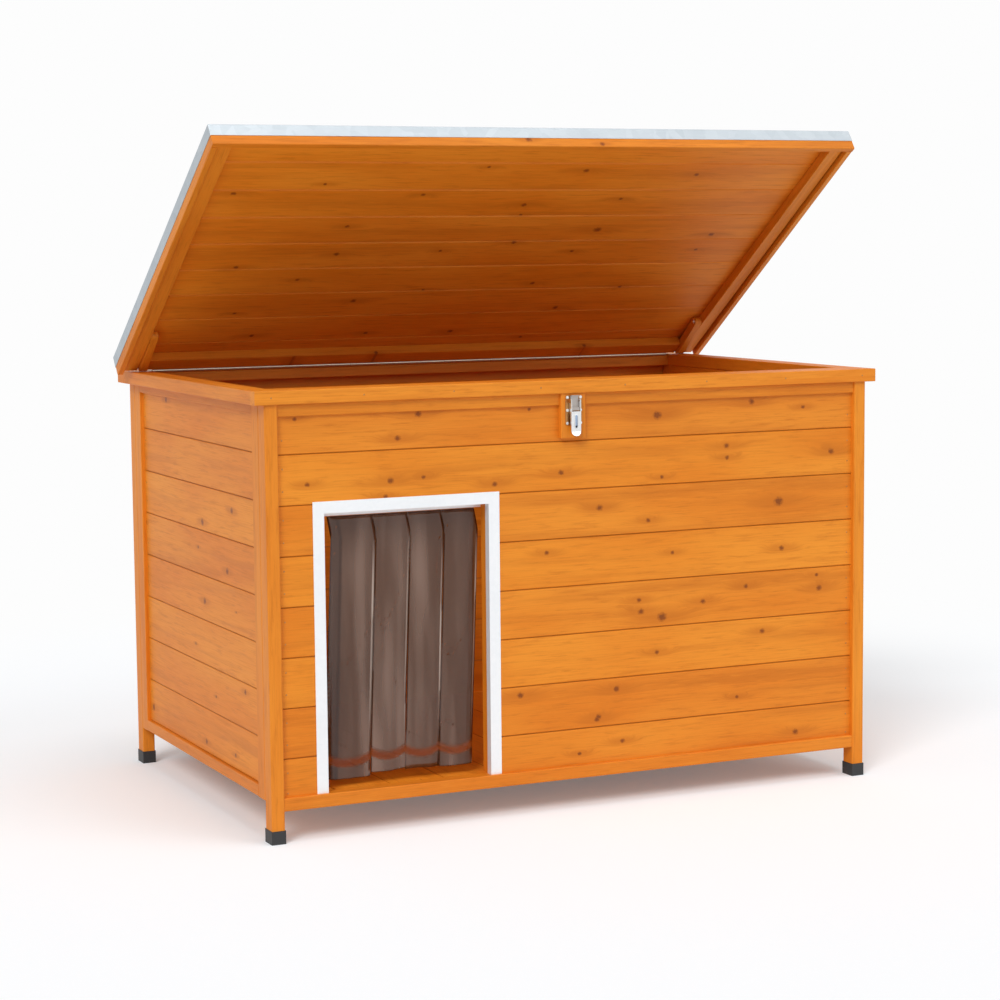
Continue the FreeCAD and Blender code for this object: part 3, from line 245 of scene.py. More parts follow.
@dataclass(frozen=True)
class Grain:
    """How one kind of timber piece lies: its grain and, where it is boarded, its boards."""

    along: Axis
    across: Axis
    depth: Axis
    seed: float
    courses: Courses | None = None
    tilt: float = 0.0
    groove: float = 0.5
    # A lift in the piece's painted lightness; on the lid it is painted light over the shaded underside.
    shade: float = 0.0
    knots: tuple[tuple[float, float, float], ...] = ()


@dataclass(frozen=True)
class Streaks:
    """One layer of a timber's figure: noise drawn out along the grain, by its real sizes."""

    along: float
    across: float
    detail: float
    roughness: float = 0.5
    distortion: float = 0.0


@dataclass(frozen=True)
class Knots:
    """How long knots are along the grain, and how they and their flares fade."""

    # A knot's width over its length along the grain, and the same for its flare.
    squeeze: float = 0.85
    flare_squeeze: float = 0.22
    # Where the disc and the flare fade out, in knot radii.
    disc: Span = (0.65, 1.30)
    flare: Span = (0.5, 2.9)


PLACED_KNOTS = Knots()
SCATTERED_KNOTS = Knots(flare_squeeze=0.24, disc=(0.75, 1.30), flare=(0.6, 1.8))


@dataclass(frozen=True)
class StainedSoftwood:
    """Planed spruce in a honey stain.

    To the eye it is even and satin, with faint streaks along the grain, dark tight knots with a
    darker flare beside them, and a dark line where two boards meet.
    """

    base: str = "E2801A"
    pale: str = "EC9128"
    streak: str = "C66C12"
    knot: str = "A8580F"
    knot_heart: str = "7C3C0A"
    joint: str = "8E4A12"
    roughness: float = 0.48
    roughness_spread: float = 0.16
    specular: float = 0.27
    # The stain lies unevenly in clouds of this size.
    clouds: Streaks = Streaks(416.7 * MM, 111.1 * MM, 2.0)
    # Yearly rings, sawn lengthwise, show as soft bands.
    bands: Streaks = Streaks(526.3 * MM, 26.316 * MM, 4.0, 0.55, 0.35)
    # Short dashes where the planing opened the grain.
    flecks: Streaks = Streaks(58.82 * MM, 5.8824 * MM, 4.0, 0.65)
    # Real fibres are under 0.1 mm wide, and these are drawn coarser so that they show.
    fibres: Streaks = Streaks(83.33 * MM, 1.6667 * MM, 3.0, 0.6)
    # The part of each layer's noise that shows.
    cloud_span: Span = (0.30, 0.72)
    band_span: Span = (0.46, 0.72)
    fibre_span: Span = (0.46, 0.76)
    dash_span: Span = (0.50, 0.72)
    gleam_span: Span = (0.28, 0.46)
    # Each board is cut from another place of the pattern, up to this far along it.
    board_shift: float = 7.0
    # Steps that tell one unboarded piece from the next, per metre across and in depth.
    piece_steps: tuple[float, float] = (2.3, 1.7)
    # Boards differ a little in lightness and hue.
    light_spread: float = 0.05
    hue_spread: float = 0.003
    # The dark line at a board's edge: full up to the first, gone from the second.
    joint_span: Span = (0.4 * MM, 1.9 * MM)
    relief: float = 0.35 * MM
    # Scattered knots: one at most in each length, none in this share of the lengths, and each
    # somewhere in the middle part of its length. The smallest is this share of the size.
    knot_spacing: float = 150.0 * MM
    knot_gap: float = 0.42
    knot_first: float = 0.32
    knot_drift: float = 0.36
    knot_size: float = 4.6 * MM
    knot_least: float = 0.25
    # How far from the middle a knot may lie: a share of a board, or a length on a batten.
    board_reach: float = 0.62
    batten_reach: float = 14.0 * MM
    # A knot's outline wanders by this much over this size, and its heart has fine rings.
    wobble: float = 0.9
    wobble_size: float = 3.8462 * MM
    rings: float = 9.0
    ring_depth: float = 0.16
    heart: Span = (0.25, 0.70)
    # The grain bends round a knot: in metres, or as a share of the distance beside it.
    placed_bend: float = 9.0 * MM
    scattered_bend: float = -0.55

    def build(self, name: str, grain: Grain) -> bpy.types.Material:
        """Builds the wood for one direction of grain.

        Args:
            name: the material's name.
            grain: how the pieces lie.

        Returns:
            The material.
        """
        material, g = new_graph(name)
        where = g.add("TexCoord").outputs["Object"]
        if grain.tilt:
            where = self._level(g, where, grain.tilt)
        split = g.add("SeparateXYZ", where)
        u, v, w = (split.outputs[axis.value] for axis in (grain.along, grain.across, grain.depth))
        board, inside = self._boards(g, v, w, grain)
        number = g.add("Math:ADD", board, grain.seed)
        luck = g.add("TexWhiteNoise:1D", W=number).outputs["Value"]
        run = g.add("Math:ADD", u, g.add("Math:MULTIPLY", luck, self.board_shift))
        if grain.knots:
            bend, spot, heart, flare = self._placed_knots(g, u, v, grain)
        else:
            bend, spot, heart, flare = self._scattered_knots(g, run, inside, number, grain)
        across = g.add("Math:ADD", v, bend)

        fibre = self._figure(g, (run, across, w), self.fibres)
        band = self._figure(g, (run, across, w), self.bands)
        cloud = self._figure(g, (run, v, w), self.clouds)
        fleck = self._figure(g, (run, across, w), self.flecks)
        lines = g.add("MapRange:SMOOTHSTEP", band, *self.band_span)
        fine = g.add("MapRange:SMOOTHSTEP", fibre, *self.fibre_span)
        dash = g.add("MapRange:SMOOTHSTEP", fleck, *self.dash_span)
        gleam = g.add("MapRange:SMOOTHSTEP", fleck, *self.gleam_span, *FALLING)

        clouded = g.add("MapRange:SMOOTHSTEP", cloud, *self.cloud_span)
        body = g.add("Mix:MIX", clouded, linear(self.base), linear(self.pale))
        body = g.lay_over(body, [
            (lines, 0.50, self.streak),
            (fine, 0.42, self.streak),
            (dash, 0.55, self.streak),
            (gleam, 0.45, self.pale),
            (flare, 0.60, self.streak),
            (spot, 0.85, self.knot),
            (heart, 0.80, self.knot_heart),
        ])
        if grain.courses:
            half = grain.courses.cover / 2.0
            edge = g.add("Math:SUBTRACT", half, g.add("Math:ABSOLUTE", inside))
            near = g.add("MapRange:SMOOTHSTEP", edge, *self.joint_span, *FALLING)
            body = g.lay_over(body, [(near, grain.groove, self.joint)])
        lightest = 1.0 - self.light_spread / 2.0 + grain.shade
        value = g.add("Math:ADD", g.add("Math:MULTIPLY", luck, self.light_spread), lightest)
        first_hue = 0.5 - self.hue_spread / 2.0
        hue = g.add("Math:ADD", g.add("Math:MULTIPLY", luck, self.hue_spread), first_hue)
        tone = g.add("HueSaturation", Hue=hue, Value=value, Color=body)

        relief = g.add("Math:ADD", g.add("Math:MULTIPLY", fine, 0.5),
                       g.add("Math:MULTIPLY", lines, 0.5))
        relief = g.add("Math:ADD", relief, g.add("Math:MULTIPLY", spot, 1.2))
        bump = g.add("Bump", Height=relief, Strength=0.22, Distance=self.relief)
        smoothest = self.roughness - self.roughness_spread / 2.0
        rough = g.add("Math:ADD", g.add("Math:MULTIPLY", fibre, self.roughness_spread), smoothest)
        close_graph(g, g.add("BsdfPrincipled", Base_Color=tone, Roughness=rough, Normal=bump,
                             Specular_IOR_Level=self.specular))
        return material

    def _level(self, g: Graph, where: Socket, tilt: float) -> Socket:
        """Turns the pattern back to level about the hinge line, for pieces of the open lid.

        Args:
            g: the material's nodes.
            where: the place on the open piece.
            tilt: how far the piece is turned, in radians.

        Returns:
            The place as it would be with the piece lying level, measured from the hinge line.
        """
        centred = g.add("VectorMath:SUBTRACT", where, tuple(HINGE_LINE))
        return g.add("VectorRotate:X_AXIS", Vector=centred, Angle=tilt).outputs[0]

    def _boards(self, g: Graph, v: Socket, w: Socket, grain: Grain) -> tuple[Node, Value]:
        """Tells one board or piece from the next.

        Args:
            g: the material's nodes.
            v: the place across the grain.
            w: the place in depth.
            grain: how the pieces lie.

        Returns:
            The board's number, and the distance from its middle line, or v where the pieces
            aren't boarded.
        """
        if not grain.courses:
            row = g.add("Math:ADD", g.add("Math:MULTIPLY", v, self.piece_steps[0]),
                        g.add("Math:MULTIPLY", w, self.piece_steps[1]))
            return g.add("Math:FLOOR", row), v
        cover = grain.courses.cover
        row = g.add("Math:DIVIDE", g.add("Math:SUBTRACT", v, grain.courses.start), cover)
        board = g.add("Math:FLOOR", row)
        from_middle = g.add("Math:SUBTRACT", row, g.add("Math:ADD", board, 0.5))
        return board, g.add("Math:MULTIPLY", from_middle, cover)

    def _figure(self, g: Graph, at: tuple[Value, Value, Value], size: Streaks) -> Socket:
        """Draws one layer of the wood's figure.

        Args:
            g: the material's nodes.
            at: the place along the grain, across it and in depth.
            size: the layer's real sizes and its detail.

        Returns:
            The layer's strength.
        """
        scales = (1.0 / size.along, 1.0 / size.across, 1.0 / size.across)
        drawn = [g.add("Math:MULTIPLY", place, scale) for place, scale in zip(at, scales)]
        noise = g.add("TexNoise", Vector=g.add("CombineXYZ", *drawn), Scale=1.0,
                      Detail=size.detail, Roughness=size.roughness, Distortion=size.distortion)
        return noise.outputs[0]

    def _placed_knots(self, g: Graph, u: Socket, v: Socket, grain: Grain) -> tuple[Value, ...]:
        """Puts each knot where it lies on the real boards.

        Args:
            g: the material's nodes.
            u: the place along the grain.
            v: the place across it.
            grain: how the pieces lie, with their knots.

        Returns:
            The grain's sideways bend in metres, the knot's disc, its dark heart and the
            flare of streaks beside it.
        """
        look = PLACED_KNOTS
        reaches: list[Value] = []
        for squeeze in (look.squeeze, look.flare_squeeze):
            place = g.add("CombineXYZ", g.add("Math:MULTIPLY", u, squeeze), v)
            reach: Value = NOWHERE
            for along, side, radius in grain.knots:
                spot = (along * MM * squeeze, side * MM, 0.0)
                away = g.add("VectorMath:DISTANCE", place, spot).outputs[1]
                reach = g.add("Math:MINIMUM", reach, g.add("Math:DIVIDE", away, radius * MM))
            reaches.append(reach)
        disc, heart, flare = self._knot_stains(g, (u, v), (reaches[0], reaches[1]), look)
        return g.add("Math:MULTIPLY", flare, self.placed_bend), disc, heart, flare

    def _scattered_knots(self, g: Graph, run: Node, side: Value, number: Node,
                         grain: Grain) -> tuple[Value, ...]:
        """Scatters knots along each board.

        Args:
            g: the material's nodes.
            run: the place along the grain, which differs from board to board.
            side: the place across the board.
            number: the board's number.
            grain: how the pieces lie.

        Returns:
            The grain's sideways bend in metres, the knot's disc, its dark heart and the
            flare of streaks beside it.
        """
        look = SCATTERED_KNOTS
        cell_at = g.add("Math:DIVIDE", run, self.knot_spacing)
        cell = g.add("Math:FLOOR", cell_at)
        luck = g.add("TexWhiteNoise:2D", Vector=g.add("CombineXYZ", cell, number))
        dice = g.add("SeparateColor", luck.outputs["Color"]).outputs
        drift = g.add("Math:MULTIPLY", dice[0], self.knot_drift)
        drift = g.add("Math:ADD", self.knot_first, drift)
        off = g.add("Math:SUBTRACT", cell_at, g.add("Math:ADD", cell, drift))
        du = g.add("Math:MULTIPLY", off, self.knot_spacing)
        reach = self.batten_reach
        if grain.courses:
            reach = grain.courses.cover * self.board_reach
        offset = g.add("Math:MULTIPLY", g.add("Math:SUBTRACT", dice[1], 0.5), reach)
        dv = g.add("Math:SUBTRACT", side, offset)
        size = g.add("Math:MULTIPLY", g.add("Math:ADD", self.knot_least, dice[2]), self.knot_size)
        present = g.add("Math:GREATER_THAN", luck.outputs["Value"], self.knot_gap)
        reaches: list[Value] = []
        for squeeze in (look.squeeze, look.flare_squeeze):
            place = g.add("CombineXYZ", g.add("Math:MULTIPLY", du, squeeze), dv)
            away = g.add("VectorMath:LENGTH", place).outputs[1]
            reaches.append(g.add("Math:DIVIDE", away, size))
        disc, heart, flare = self._knot_stains(g, (run, side), (reaches[0], reaches[1]), look)
        pull = g.add("Math:MULTIPLY", g.add("Math:MULTIPLY", flare, dv), self.scattered_bend)
        return tuple(g.add("Math:MULTIPLY", part, present) for part in (pull, disc, heart, flare))

    def _knot_stains(self, g: Graph, at: tuple[Value, Value], reach: tuple[Value, Value],
                     look: Knots) -> tuple[Node, Node, Node]:
        """Turns the distance from a knot into its stains.

        Args:
            g: the material's nodes.
            at: the place along the grain and across it.
            reach: the distance from the knot in its radii, for its disc and for its flare.
            look: how the knots fade.

        Returns:
            The knot's disc, its dark heart and its flare, each from 0 to 1.
        """
        noise = g.add("TexNoise", Vector=g.add("CombineXYZ", *at), Scale=1.0 / self.wobble_size,
                      Detail=1.0)
        uneven = g.add("Math:MULTIPLY", g.add("Math:SUBTRACT", noise, 0.5), self.wobble)
        far = g.add("Math:ADD", reach[0], uneven)
        disc = g.add("MapRange:SMOOTHSTEP", far, *look.disc, *FALLING)
        wave = g.add("Math:SINE", g.add("Math:MULTIPLY", far, self.rings))
        ringed = g.add("Math:ADD", far, g.add("Math:MULTIPLY", wave, self.ring_depth))
        heart = g.add("MapRange:SMOOTHSTEP", ringed, *self.heart, *FALLING)
        flare = g.add("MapRange:SMOOTHSTEP", reach[1], *look.flare, *FALLING)
        return disc, heart, flare


@dataclass(frozen=True)
class SheetMetal:
    """Zinc-coated steel sheet or pressing.

    To the eye it is pale and satin, with faint crystals of zinc in slightly different greys and
    a cloudy bloom over them.
    """

    base: str
    shade: str
    metallic: float = 0.85
    roughness: float = 0.34
    # Size of the zinc's crystals, and how much darker the darkest of them are.
    spangle: float = 14.0 * MM
    spangle_share: float = 0.35
    bloom: float = 111.1 * MM
    bloom_share: float = 0.14
    roughness_spread: float = 0.10
    # The zinc's own grit is finer, and is drawn this coarse so that it shows.
    grit: float = 1.1111 * MM
    grit_depth: float = 0.1 * MM

    def build(self, name: str) -> bpy.types.Material:
        """Builds the metal.

        Args:
            name: the material's name.

        Returns:
            The material.
        """
        material, g = new_graph(name)
        where = g.add("TexCoord").outputs["Object"]
        cells = g.add("TexVoronoi", Vector=where, Scale=1.0 / self.spangle, Randomness=1.0)
        crystal = g.add("SeparateColor", cells.outputs["Color"]).outputs
        cloud = g.add("TexNoise", Vector=where, Scale=1.0 / self.bloom, Detail=3.0)
        clouded = g.add("MapRange:SMOOTHSTEP", cloud, 0.4, 0.7)
        share = g.add("Math:ADD", g.add("Math:MULTIPLY", crystal[0], self.spangle_share),
                      g.add("Math:MULTIPLY", clouded, self.bloom_share))
        colour = g.add("Mix:MIX", share, linear(self.base), linear(self.shade))
        rough = g.add("Math:ADD", g.add("Math:MULTIPLY", crystal[1], self.roughness_spread),
                      self.roughness)
        grit = g.add("TexNoise", Vector=where, Scale=1.0 / self.grit, Detail=2.0)
        bump = g.add("Bump", Height=grit, Strength=0.05, Distance=self.grit_depth)
        close_graph(g, g.add("BsdfPrincipled", Base_Color=colour, Roughness=rough,
                             Metallic=self.metallic, Normal=bump))
        return material


@dataclass(frozen=True)
class MouldedPlastic:
    """Moulded black polyethylene.

    To the eye it is matt and nearly black, with the fine grain of its mould and dull scuffs.
    """

    base: str = "2B2B2C"
    scuff: str = "4A4A4A"
    roughness: float = 0.55
    # Size of the mould's grain and of the scuffs, and the depth of the grain.
    grain: float = 0.71429 * MM
    scuff_size: float = 8.3333 * MM
    grain_depth: float = 0.2 * MM

    def build(self, name: str) -> bpy.types.Material:
        """Builds the plastic.

        Args:
            name: the material's name.

        Returns:
            The material.
        """
        material, g = new_graph(name)
        where = g.add("TexCoord").outputs["Object"]
        grain = g.add("TexNoise", Vector=where, Scale=1.0 / self.grain, Detail=2.0)
        worn = g.add("TexNoise", Vector=where, Scale=1.0 / self.scuff_size, Detail=4.0,
                     Roughness=0.7)
        scuffed = g.add("MapRange:SMOOTHSTEP", worn, 0.55, 0.75)
        colour = g.lay_over(linear(self.base), [(scuffed, 0.5, self.scuff)])
        bump = g.add("Bump", Height=grain, Strength=0.15, Distance=self.grain_depth)
        close_graph(g, g.add("BsdfPrincipled", Base_Color=colour, Roughness=self.roughness,
                             Normal=bump))
        return material


@dataclass(frozen=True)
class SoftVinyl:
    """Smoke-brown plasticised PVC film, cut in strips.

    To the eye it is glossy and half see-through, with upright streaks and soft ripples, a painted
    highlight down one cut edge, painted shade down the other and a clearer band at its hem with a
    painted brown reflection. Painted shade lies in a folded strip's crease, and a painted shadow
    under the clamp bar.
    """

    base: str = "553520"
    haze: str = "84695A"
    # Colours of the painted highlight, the painted shade and the hem's painted reflection.
    painted_highlight: str = "C9B9AC"
    painted_shade: str = "361C0C"
    hem_painted_reflection: str = "6E3408"
    density: float = 0.80
    hem_clearness: float = 0.55
    roughness: float = 0.10
    # Streaks and ripples: their size across and upwards.
    streak_size: tuple[float, float] = (33.333 * MM, 333.33 * MM)
    ripple_size: tuple[float, float] = (45.4545 * MM, 200.0 * MM)
    ripple_depth: float = 3.0 * MM
    # Marks on a strip, in shares of its width or height: the painted highlight down its right part,
    # the hem's band with its painted reflection, the painted shade at its left edge, the painted shade
    # in the crease and over what it hides, and the clamp bar's painted shadow.
    shine_across: Limits = (0.93, 0.955, 0.975, 0.99)
    shine_up: Limits = (0.05, 0.45, 0.70, 0.95)
    hem_band: Limits = (0.034, 0.050, 0.062, 0.088)
    hem_bow: float = 0.08
    edge_fade: Span = (0.012, 0.045)
    crease_fade: Span = (0.012, 0.05)
    crease_width: float = 0.02
    bar_shadow: Span = (0.78, 1.0)

    def build(self, name: str, fold: float = 0.0) -> bpy.types.Material:
        """Builds the film.

        Args:
            name: the material's name.
            fold: where a strip's upright crease lies, as a share of its width.

        Returns:
            The material.
        """
        material, g = new_graph(name)
        where = g.add("TexCoord").outputs["Object"]
        chart = g.add("SeparateXYZ", g.add("UVMap:strip"))
        side, up = chart.outputs[0], chart.outputs[1]
        streak = self._waves(g, where, self.streak_size, 2.0)
        hazy = g.add("MapRange:SMOOTHSTEP", streak, 0.35, 0.75)
        colour = g.add("Mix:MIX", hazy, linear(self.base), linear(self.haze))
        # Painted highlight down the strip's right part, for the light that its curled edge catches.
        shine = g.add("Math:MULTIPLY", self._band(g, side, self.shine_across),
                      self._band(g, up, self.shine_up))
        # Painted shade down the strip's left edge.
        edge_painted_shade = g.add("MapRange:SMOOTHSTEP", side, *self.edge_fade, *FALLING)
        # The hem's band: a painted brown reflection, where the film is also made more see-through.
        hem = self._hem(g, side, up)
        # Painted shadow of the clamp bar across the top of the strip.
        bar_painted_shadow = g.add("MapRange:SMOOTHSTEP", up, *self.bar_shadow)
        layers = [(shine, 0.75, self.painted_highlight), (edge_painted_shade, 0.75, self.painted_shade)]
        if fold:
            # Painted shade in the crease and over the turned-back part beside it.
            off = g.add("Math:ABSOLUTE", g.add("Math:SUBTRACT", side, fold))
            crease = g.add("MapRange:SMOOTHSTEP", off, *self.crease_fade, *FALLING)
            start = fold - self.crease_width
            behind = g.add("MapRange:SMOOTHSTEP", side, start, fold, *FALLING)
            layers += [(crease, 0.8, self.painted_shade), (behind, 0.45, self.painted_shade)]
        layers += [(hem, 0.9, self.hem_painted_reflection), (bar_painted_shadow, 0.35, self.painted_shade)]
        colour = g.lay_over(colour, layers)
        body = g.add("Math:SUBTRACT", self.density,
                     g.add("Math:MULTIPLY", hem, self.hem_clearness))
        ripple = self._waves(g, where, self.ripple_size, 1.0)
        bump = g.add("Bump", Height=ripple, Strength=0.5, Distance=self.ripple_depth)
        close_graph(g, g.add("BsdfPrincipled", Base_Color=colour, Alpha=body, Normal=bump,
                             Roughness=self.roughness, Coat_Weight=0.3, Coat_Roughness=0.08))
        return material

    def _waves(self, g: Graph, where: Socket, size: tuple[float, float], detail: float) -> Node:
        """Draws soft upright marks.

        Args:
            g: the material's nodes.
            where: the place on the strip.
            size: the marks' size across and upwards, in metres.
            detail: how much finer detail they have.

        Returns:
            The node that draws them.
        """
        scales = (1.0 / size[0], 1.0 / size[0], 1.0 / size[1])
        drawn = g.add("VectorMath:MULTIPLY", where, scales)
        return g.add("TexNoise", Vector=drawn, Scale=1.0, Detail=detail)

    def _band(self, g: Graph, place: Value, limits: Limits) -> Node:
        """Marks a soft-edged band.

        Args:
            g: the material's nodes.
            place: the place across the band.
            limits: where the band starts, is full, begins to fade and ends.

        Returns:
            The node that gives the band from 0 to 1.
        """
        rise = g.add("MapRange:SMOOTHSTEP", place, *limits[:2])
        fall = g.add("MapRange:SMOOTHSTEP", place, *limits[2:], *FALLING)
        return g.add("Math:MULTIPLY", rise, fall)

    def _hem(self, g: Graph, side: Socket, up: Socket) -> Node:
        """Marks the hem's bowed band, which carries a painted brown reflection and is more see-through.

        Args:
            g: the material's nodes.
            side: the place across the strip, from 0 to 1.
            up: the place up the strip, from 0 to 1.

        Returns:
            The node that gives the band from 0 to 1.
        """
        off = g.add("Math:SUBTRACT", side, 0.5)
        bow = g.add("Math:MULTIPLY", g.add("Math:MULTIPLY", off, off), self.hem_bow)
        return self._band(g, g.add("Math:SUBTRACT", up, bow), self.hem_band)


# ---- mesh helpers ---------------------------------------------------------------------------


def finish_mesh(name: str, mesh: bmesh.types.BMesh, material: bpy.types.Material, body: str) -> bpy.types.Object:
    """Turns a bmesh into a smoothly shaded piece that rides on a body.

    Args:
        name: the piece's name.
        mesh: the finished mesh, in the house's frame and in metres.
        material: its finish.
        body: the CAD body it moves with.

    Returns:
        The new object.
    """
    bmesh.ops.recalc_face_normals(mesh, faces=mesh.faces)
    data = bpy.data.meshes.new(name)
    mesh.to_mesh(data)
    mesh.free()
    for face in data.polygons:
        face.use_smooth = True
    obj = bpy.data.objects.new(name, data)
    bpy.context.scene.collection.objects.link(obj)
    dress(obj, material)
    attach(obj, body)
    return obj


def add_pan_head(mesh: bmesh.types.BMesh, centre: Vector, normal: Vector, radius: float,
                 height: float, sides: int = 12) -> None:
    """Adds a low domed nail or screw head that stands on a surface.

    Args:
        mesh: the mesh it is added to.
        centre: the middle of its foot.
        normal: the way it faces.
        radius: the head's radius.
        height: how far it stands proud.
        sides: corners round the head.
    """
    crown = 0.82 * radius
    made = bmesh.ops.create_cone(mesh, cap_ends=True, segments=sides, radius1=radius,
                                 radius2=crown, depth=height)
    turn = UPWARD.rotation_difference(normal).to_matrix().to_4x4()
    place = Matrix.Translation(centre + normal * (height / 2.0)) @ turn
    bmesh.ops.transform(mesh, matrix=place, verts=made["verts"])


# ---- timber ---------------------------------------------------------------------------------

FRONT_COURSES = Courses(cover=80.0 * MM, start=53.0 * MM)
SIDE_COURSES = Courses(cover=75.5 * MM, start=85.0 * MM)
FLOOR_COURSES = Courses(cover=95.0 * MM, start=-527.5 * MM)
LID_COURSES = Courses(cover=76.0 * MM, start=-746.0 * MM)


@dataclass(frozen=True)
class TimberGroup:
    """Nodes that lie alike and so share one wood."""

    wood: str
    grain: Grain
    nodes: tuple[str, ...]


TIMBER_GROUPS = (
    TimberGroup("spruce_front_boards",
                Grain(Axis.X, Axis.Z, Axis.Y, seed=11.0, courses=FRONT_COURSES,
                      knots=FRONT_KNOTS),
                ("front_boards_left", "front_boards_right", "front_boards_over_door")),
    TimberGroup("spruce_rear_boards",
                Grain(Axis.X, Axis.Z, Axis.Y, seed=211.0, courses=FRONT_COURSES),
                ("rear_boards",)),
    TimberGroup("spruce_left_boards",
                Grain(Axis.Y, Axis.Z, Axis.X, seed=311.0, courses=SIDE_COURSES),
                ("left_boards",)),
    TimberGroup("spruce_right_boards",
                Grain(Axis.Y, Axis.Z, Axis.X, seed=411.0, courses=SIDE_COURSES),
                ("right_boards",)),
    TimberGroup("spruce_floor_boards",
                Grain(Axis.Y, Axis.X, Axis.Z, seed=511.0, courses=FLOOR_COURSES),
                ("floor_boards",)),
    # Painted light: the lid's underside hangs in shade, and its boards are painted 0.08 lighter.
    TimberGroup("spruce_lid_boards",
                Grain(Axis.X, Axis.Y, Axis.Z, seed=611.0, courses=LID_COURSES, tilt=LID_ANGLE,
                      groove=0.0, shade=0.08, knots=LID_KNOTS),
                ("lid_boards",)),
    TimberGroup("spruce_upright",
                Grain(Axis.Z, Axis.X, Axis.Y, seed=711.0),
                ("post_front_left", "post_front_right", "post_rear_left", "post_rear_right",
                 "left_stiles", "right_stiles", "corner_battens", "door_jambs", "latch_block")),
    TimberGroup("spruce_rail_x",
                Grain(Axis.X, Axis.Z, Axis.Y, seed=811.0),
                ("front_bottom_rail", "rear_bottom_rail", "front_top_rail", "rear_top_rail",
                 "rim_front", "hinge_board", "door_head", "floor_bearers")),
    TimberGroup("spruce_rail_y",
                Grain(Axis.Y, Axis.Z, Axis.X, seed=911.0),
                ("left_bottom_rail", "right_bottom_rail", "side_top_rails", "rim_left",
                 "rim_right", "rim_ledges")),
    TimberGroup("spruce_lid_rail_x",
                Grain(Axis.X, Axis.Z, Axis.Y, seed=1011.0, tilt=LID_ANGLE),
                ("lid_rail_front", "lid_rail_rear")),
    TimberGroup("spruce_lid_rail_y",
                Grain(Axis.Y, Axis.X, Axis.Z, seed=1111.0, tilt=LID_ANGLE),
                ("lid_rail_left", "lid_rail_right", "lid_battens", "lid_stay_blocks")),
    TimberGroup("spruce_stay",
                Grain(Axis.Y, Axis.Z, Axis.X, seed=1211.0, tilt=STAY_ANGLE),
                ("lid_stay_left", "lid_stay_right")),
)


@dataclass
class Timber:
    """All the wood of the house, dressed by the way its grain runs."""

    finish: StainedSoftwood = StainedSoftwood()
    groups: tuple[TimberGroup, ...] = TIMBER_GROUPS

    def dress_nodes(self, nodes: dict[str, bpy.types.Object]) -> None:
        """Gives every timber node the wood that runs its way.

        Args:
            nodes: the CAD nodes by name.
        """
        for group in self.groups:
            material = self.finish.build(group.wood, group.grain)
            for name in group.nodes:
                dress(nodes[name], material)
            LOG.info("wood %s on %d nodes", group.wood, len(group.nodes))


# ---- metal and plastic ----------------------------------------------------------------------


class Metal(Enum):
    """The metals of the house, each by its material's name; some carry painted light on the claw and the lever.
    """

    TRIM = "bright_zinc_trim"
    COVER = "galvanised_cover_sheet"
    FITTINGS = "zinc_plated_fittings"
    CLAW = "zinc_claw_painted_reflection"
    PLATE = "yellow_passivated_plate"
    HINGE = "zinc_plated_hinge"
    PAINTED_SLOT_SHADE = "zinc_with_painted_shade"
    PAINTED_EYE_SHADOW = "painted_shadow_in_eye"
    STAINED = "stained_over_nail_heads"


METALS = {
    # Folded bright zinc strip: nearly white and even under soft light.
    Metal.TRIM: SheetMetal("F6F8FA", "DDE3E8", metallic=0.30, roughness=0.30,
                           spangle=6.0 * MM, spangle_share=0.12),
    # Hot-dip galvanised sheet: cool grey and dull, with large faint crystals.
    Metal.COVER: SheetMetal("BFC6CB", "98A2AA", roughness=0.46, spangle=18.0 * MM,
                            spangle_share=0.20),
    # Bright zinc plate on pressings and screws: pale and shiny, with hardly a mark.
    Metal.FITTINGS: SheetMetal("E9EAEA", "B4B8BC", roughness=0.26, spangle=6.0 * MM,
                               spangle_share=0.10),
    # Painted reflection: the same plate on the bent claw, painted warmer and darker for the wood that it
    # mirrors.
    Metal.CLAW: SheetMetal("B4ACA6", "8E8884", roughness=0.32, spangle=6.0 * MM,
                           spangle_share=0.15),
    # Yellow-passivated zinc: a brassy brown close to the wood's own colour.
    Metal.PLATE: SheetMetal("C08C56", "8A5F34", metallic=0.9, roughness=0.30,
                            spangle=6.0 * MM, spangle_share=0.15),
    # Zinc plate on rolled hinge leaves: greyish cream, a little worn.
    Metal.HINGE: SheetMetal("C9C4B6", "8B8574", metallic=0.9, roughness=0.30,
                            spangle=4.0 * MM, spangle_share=0.15),
    # Painted shade: the pressed floor of the lever's slot, zinc painted darker and bluish for the shade in it.
    Metal.PAINTED_SLOT_SHADE: SheetMetal("9DB0C9", "7F92AC", metallic=0.5, roughness=0.30,
                             spangle=2.0 * MM),
    # Painted shadow: a nearly black, dull disc over the lever's eye, for the dark inside it.
    Metal.PAINTED_EYE_SHADOW: SheetMetal("2A2E34", "1C1F24", metallic=0.3, roughness=0.50,
                                spangle=2.0 * MM),
    # Nail heads that the stain has run over: a dull brown glint in the wood.
    Metal.STAINED: SheetMetal("C98A4C", "96602C", metallic=0.55, roughness=0.45,
                              spangle=2.0 * MM),
}

METAL_NODES = {
    Metal.TRIM: ("door_trim_left", "door_trim_right", "door_trim_top", "curtain_clamp_bar"),
    Metal.COVER: ("lid_cover",),
    Metal.PLATE: ("latch_plate",),
    Metal.CLAW: ("latch_claw",),
    Metal.FITTINGS: ("latch_lever", "latch_screws", "stay_screws"),
    Metal.HINGE: ("hinge_leaf_fixed", "hinge_leaf_lid", "hinge_pin"),
}

PLASTIC_NODES = ("foot_cap_front_left", "foot_cap_front_right", "foot_cap_rear_left",
                 "foot_cap_rear_right")


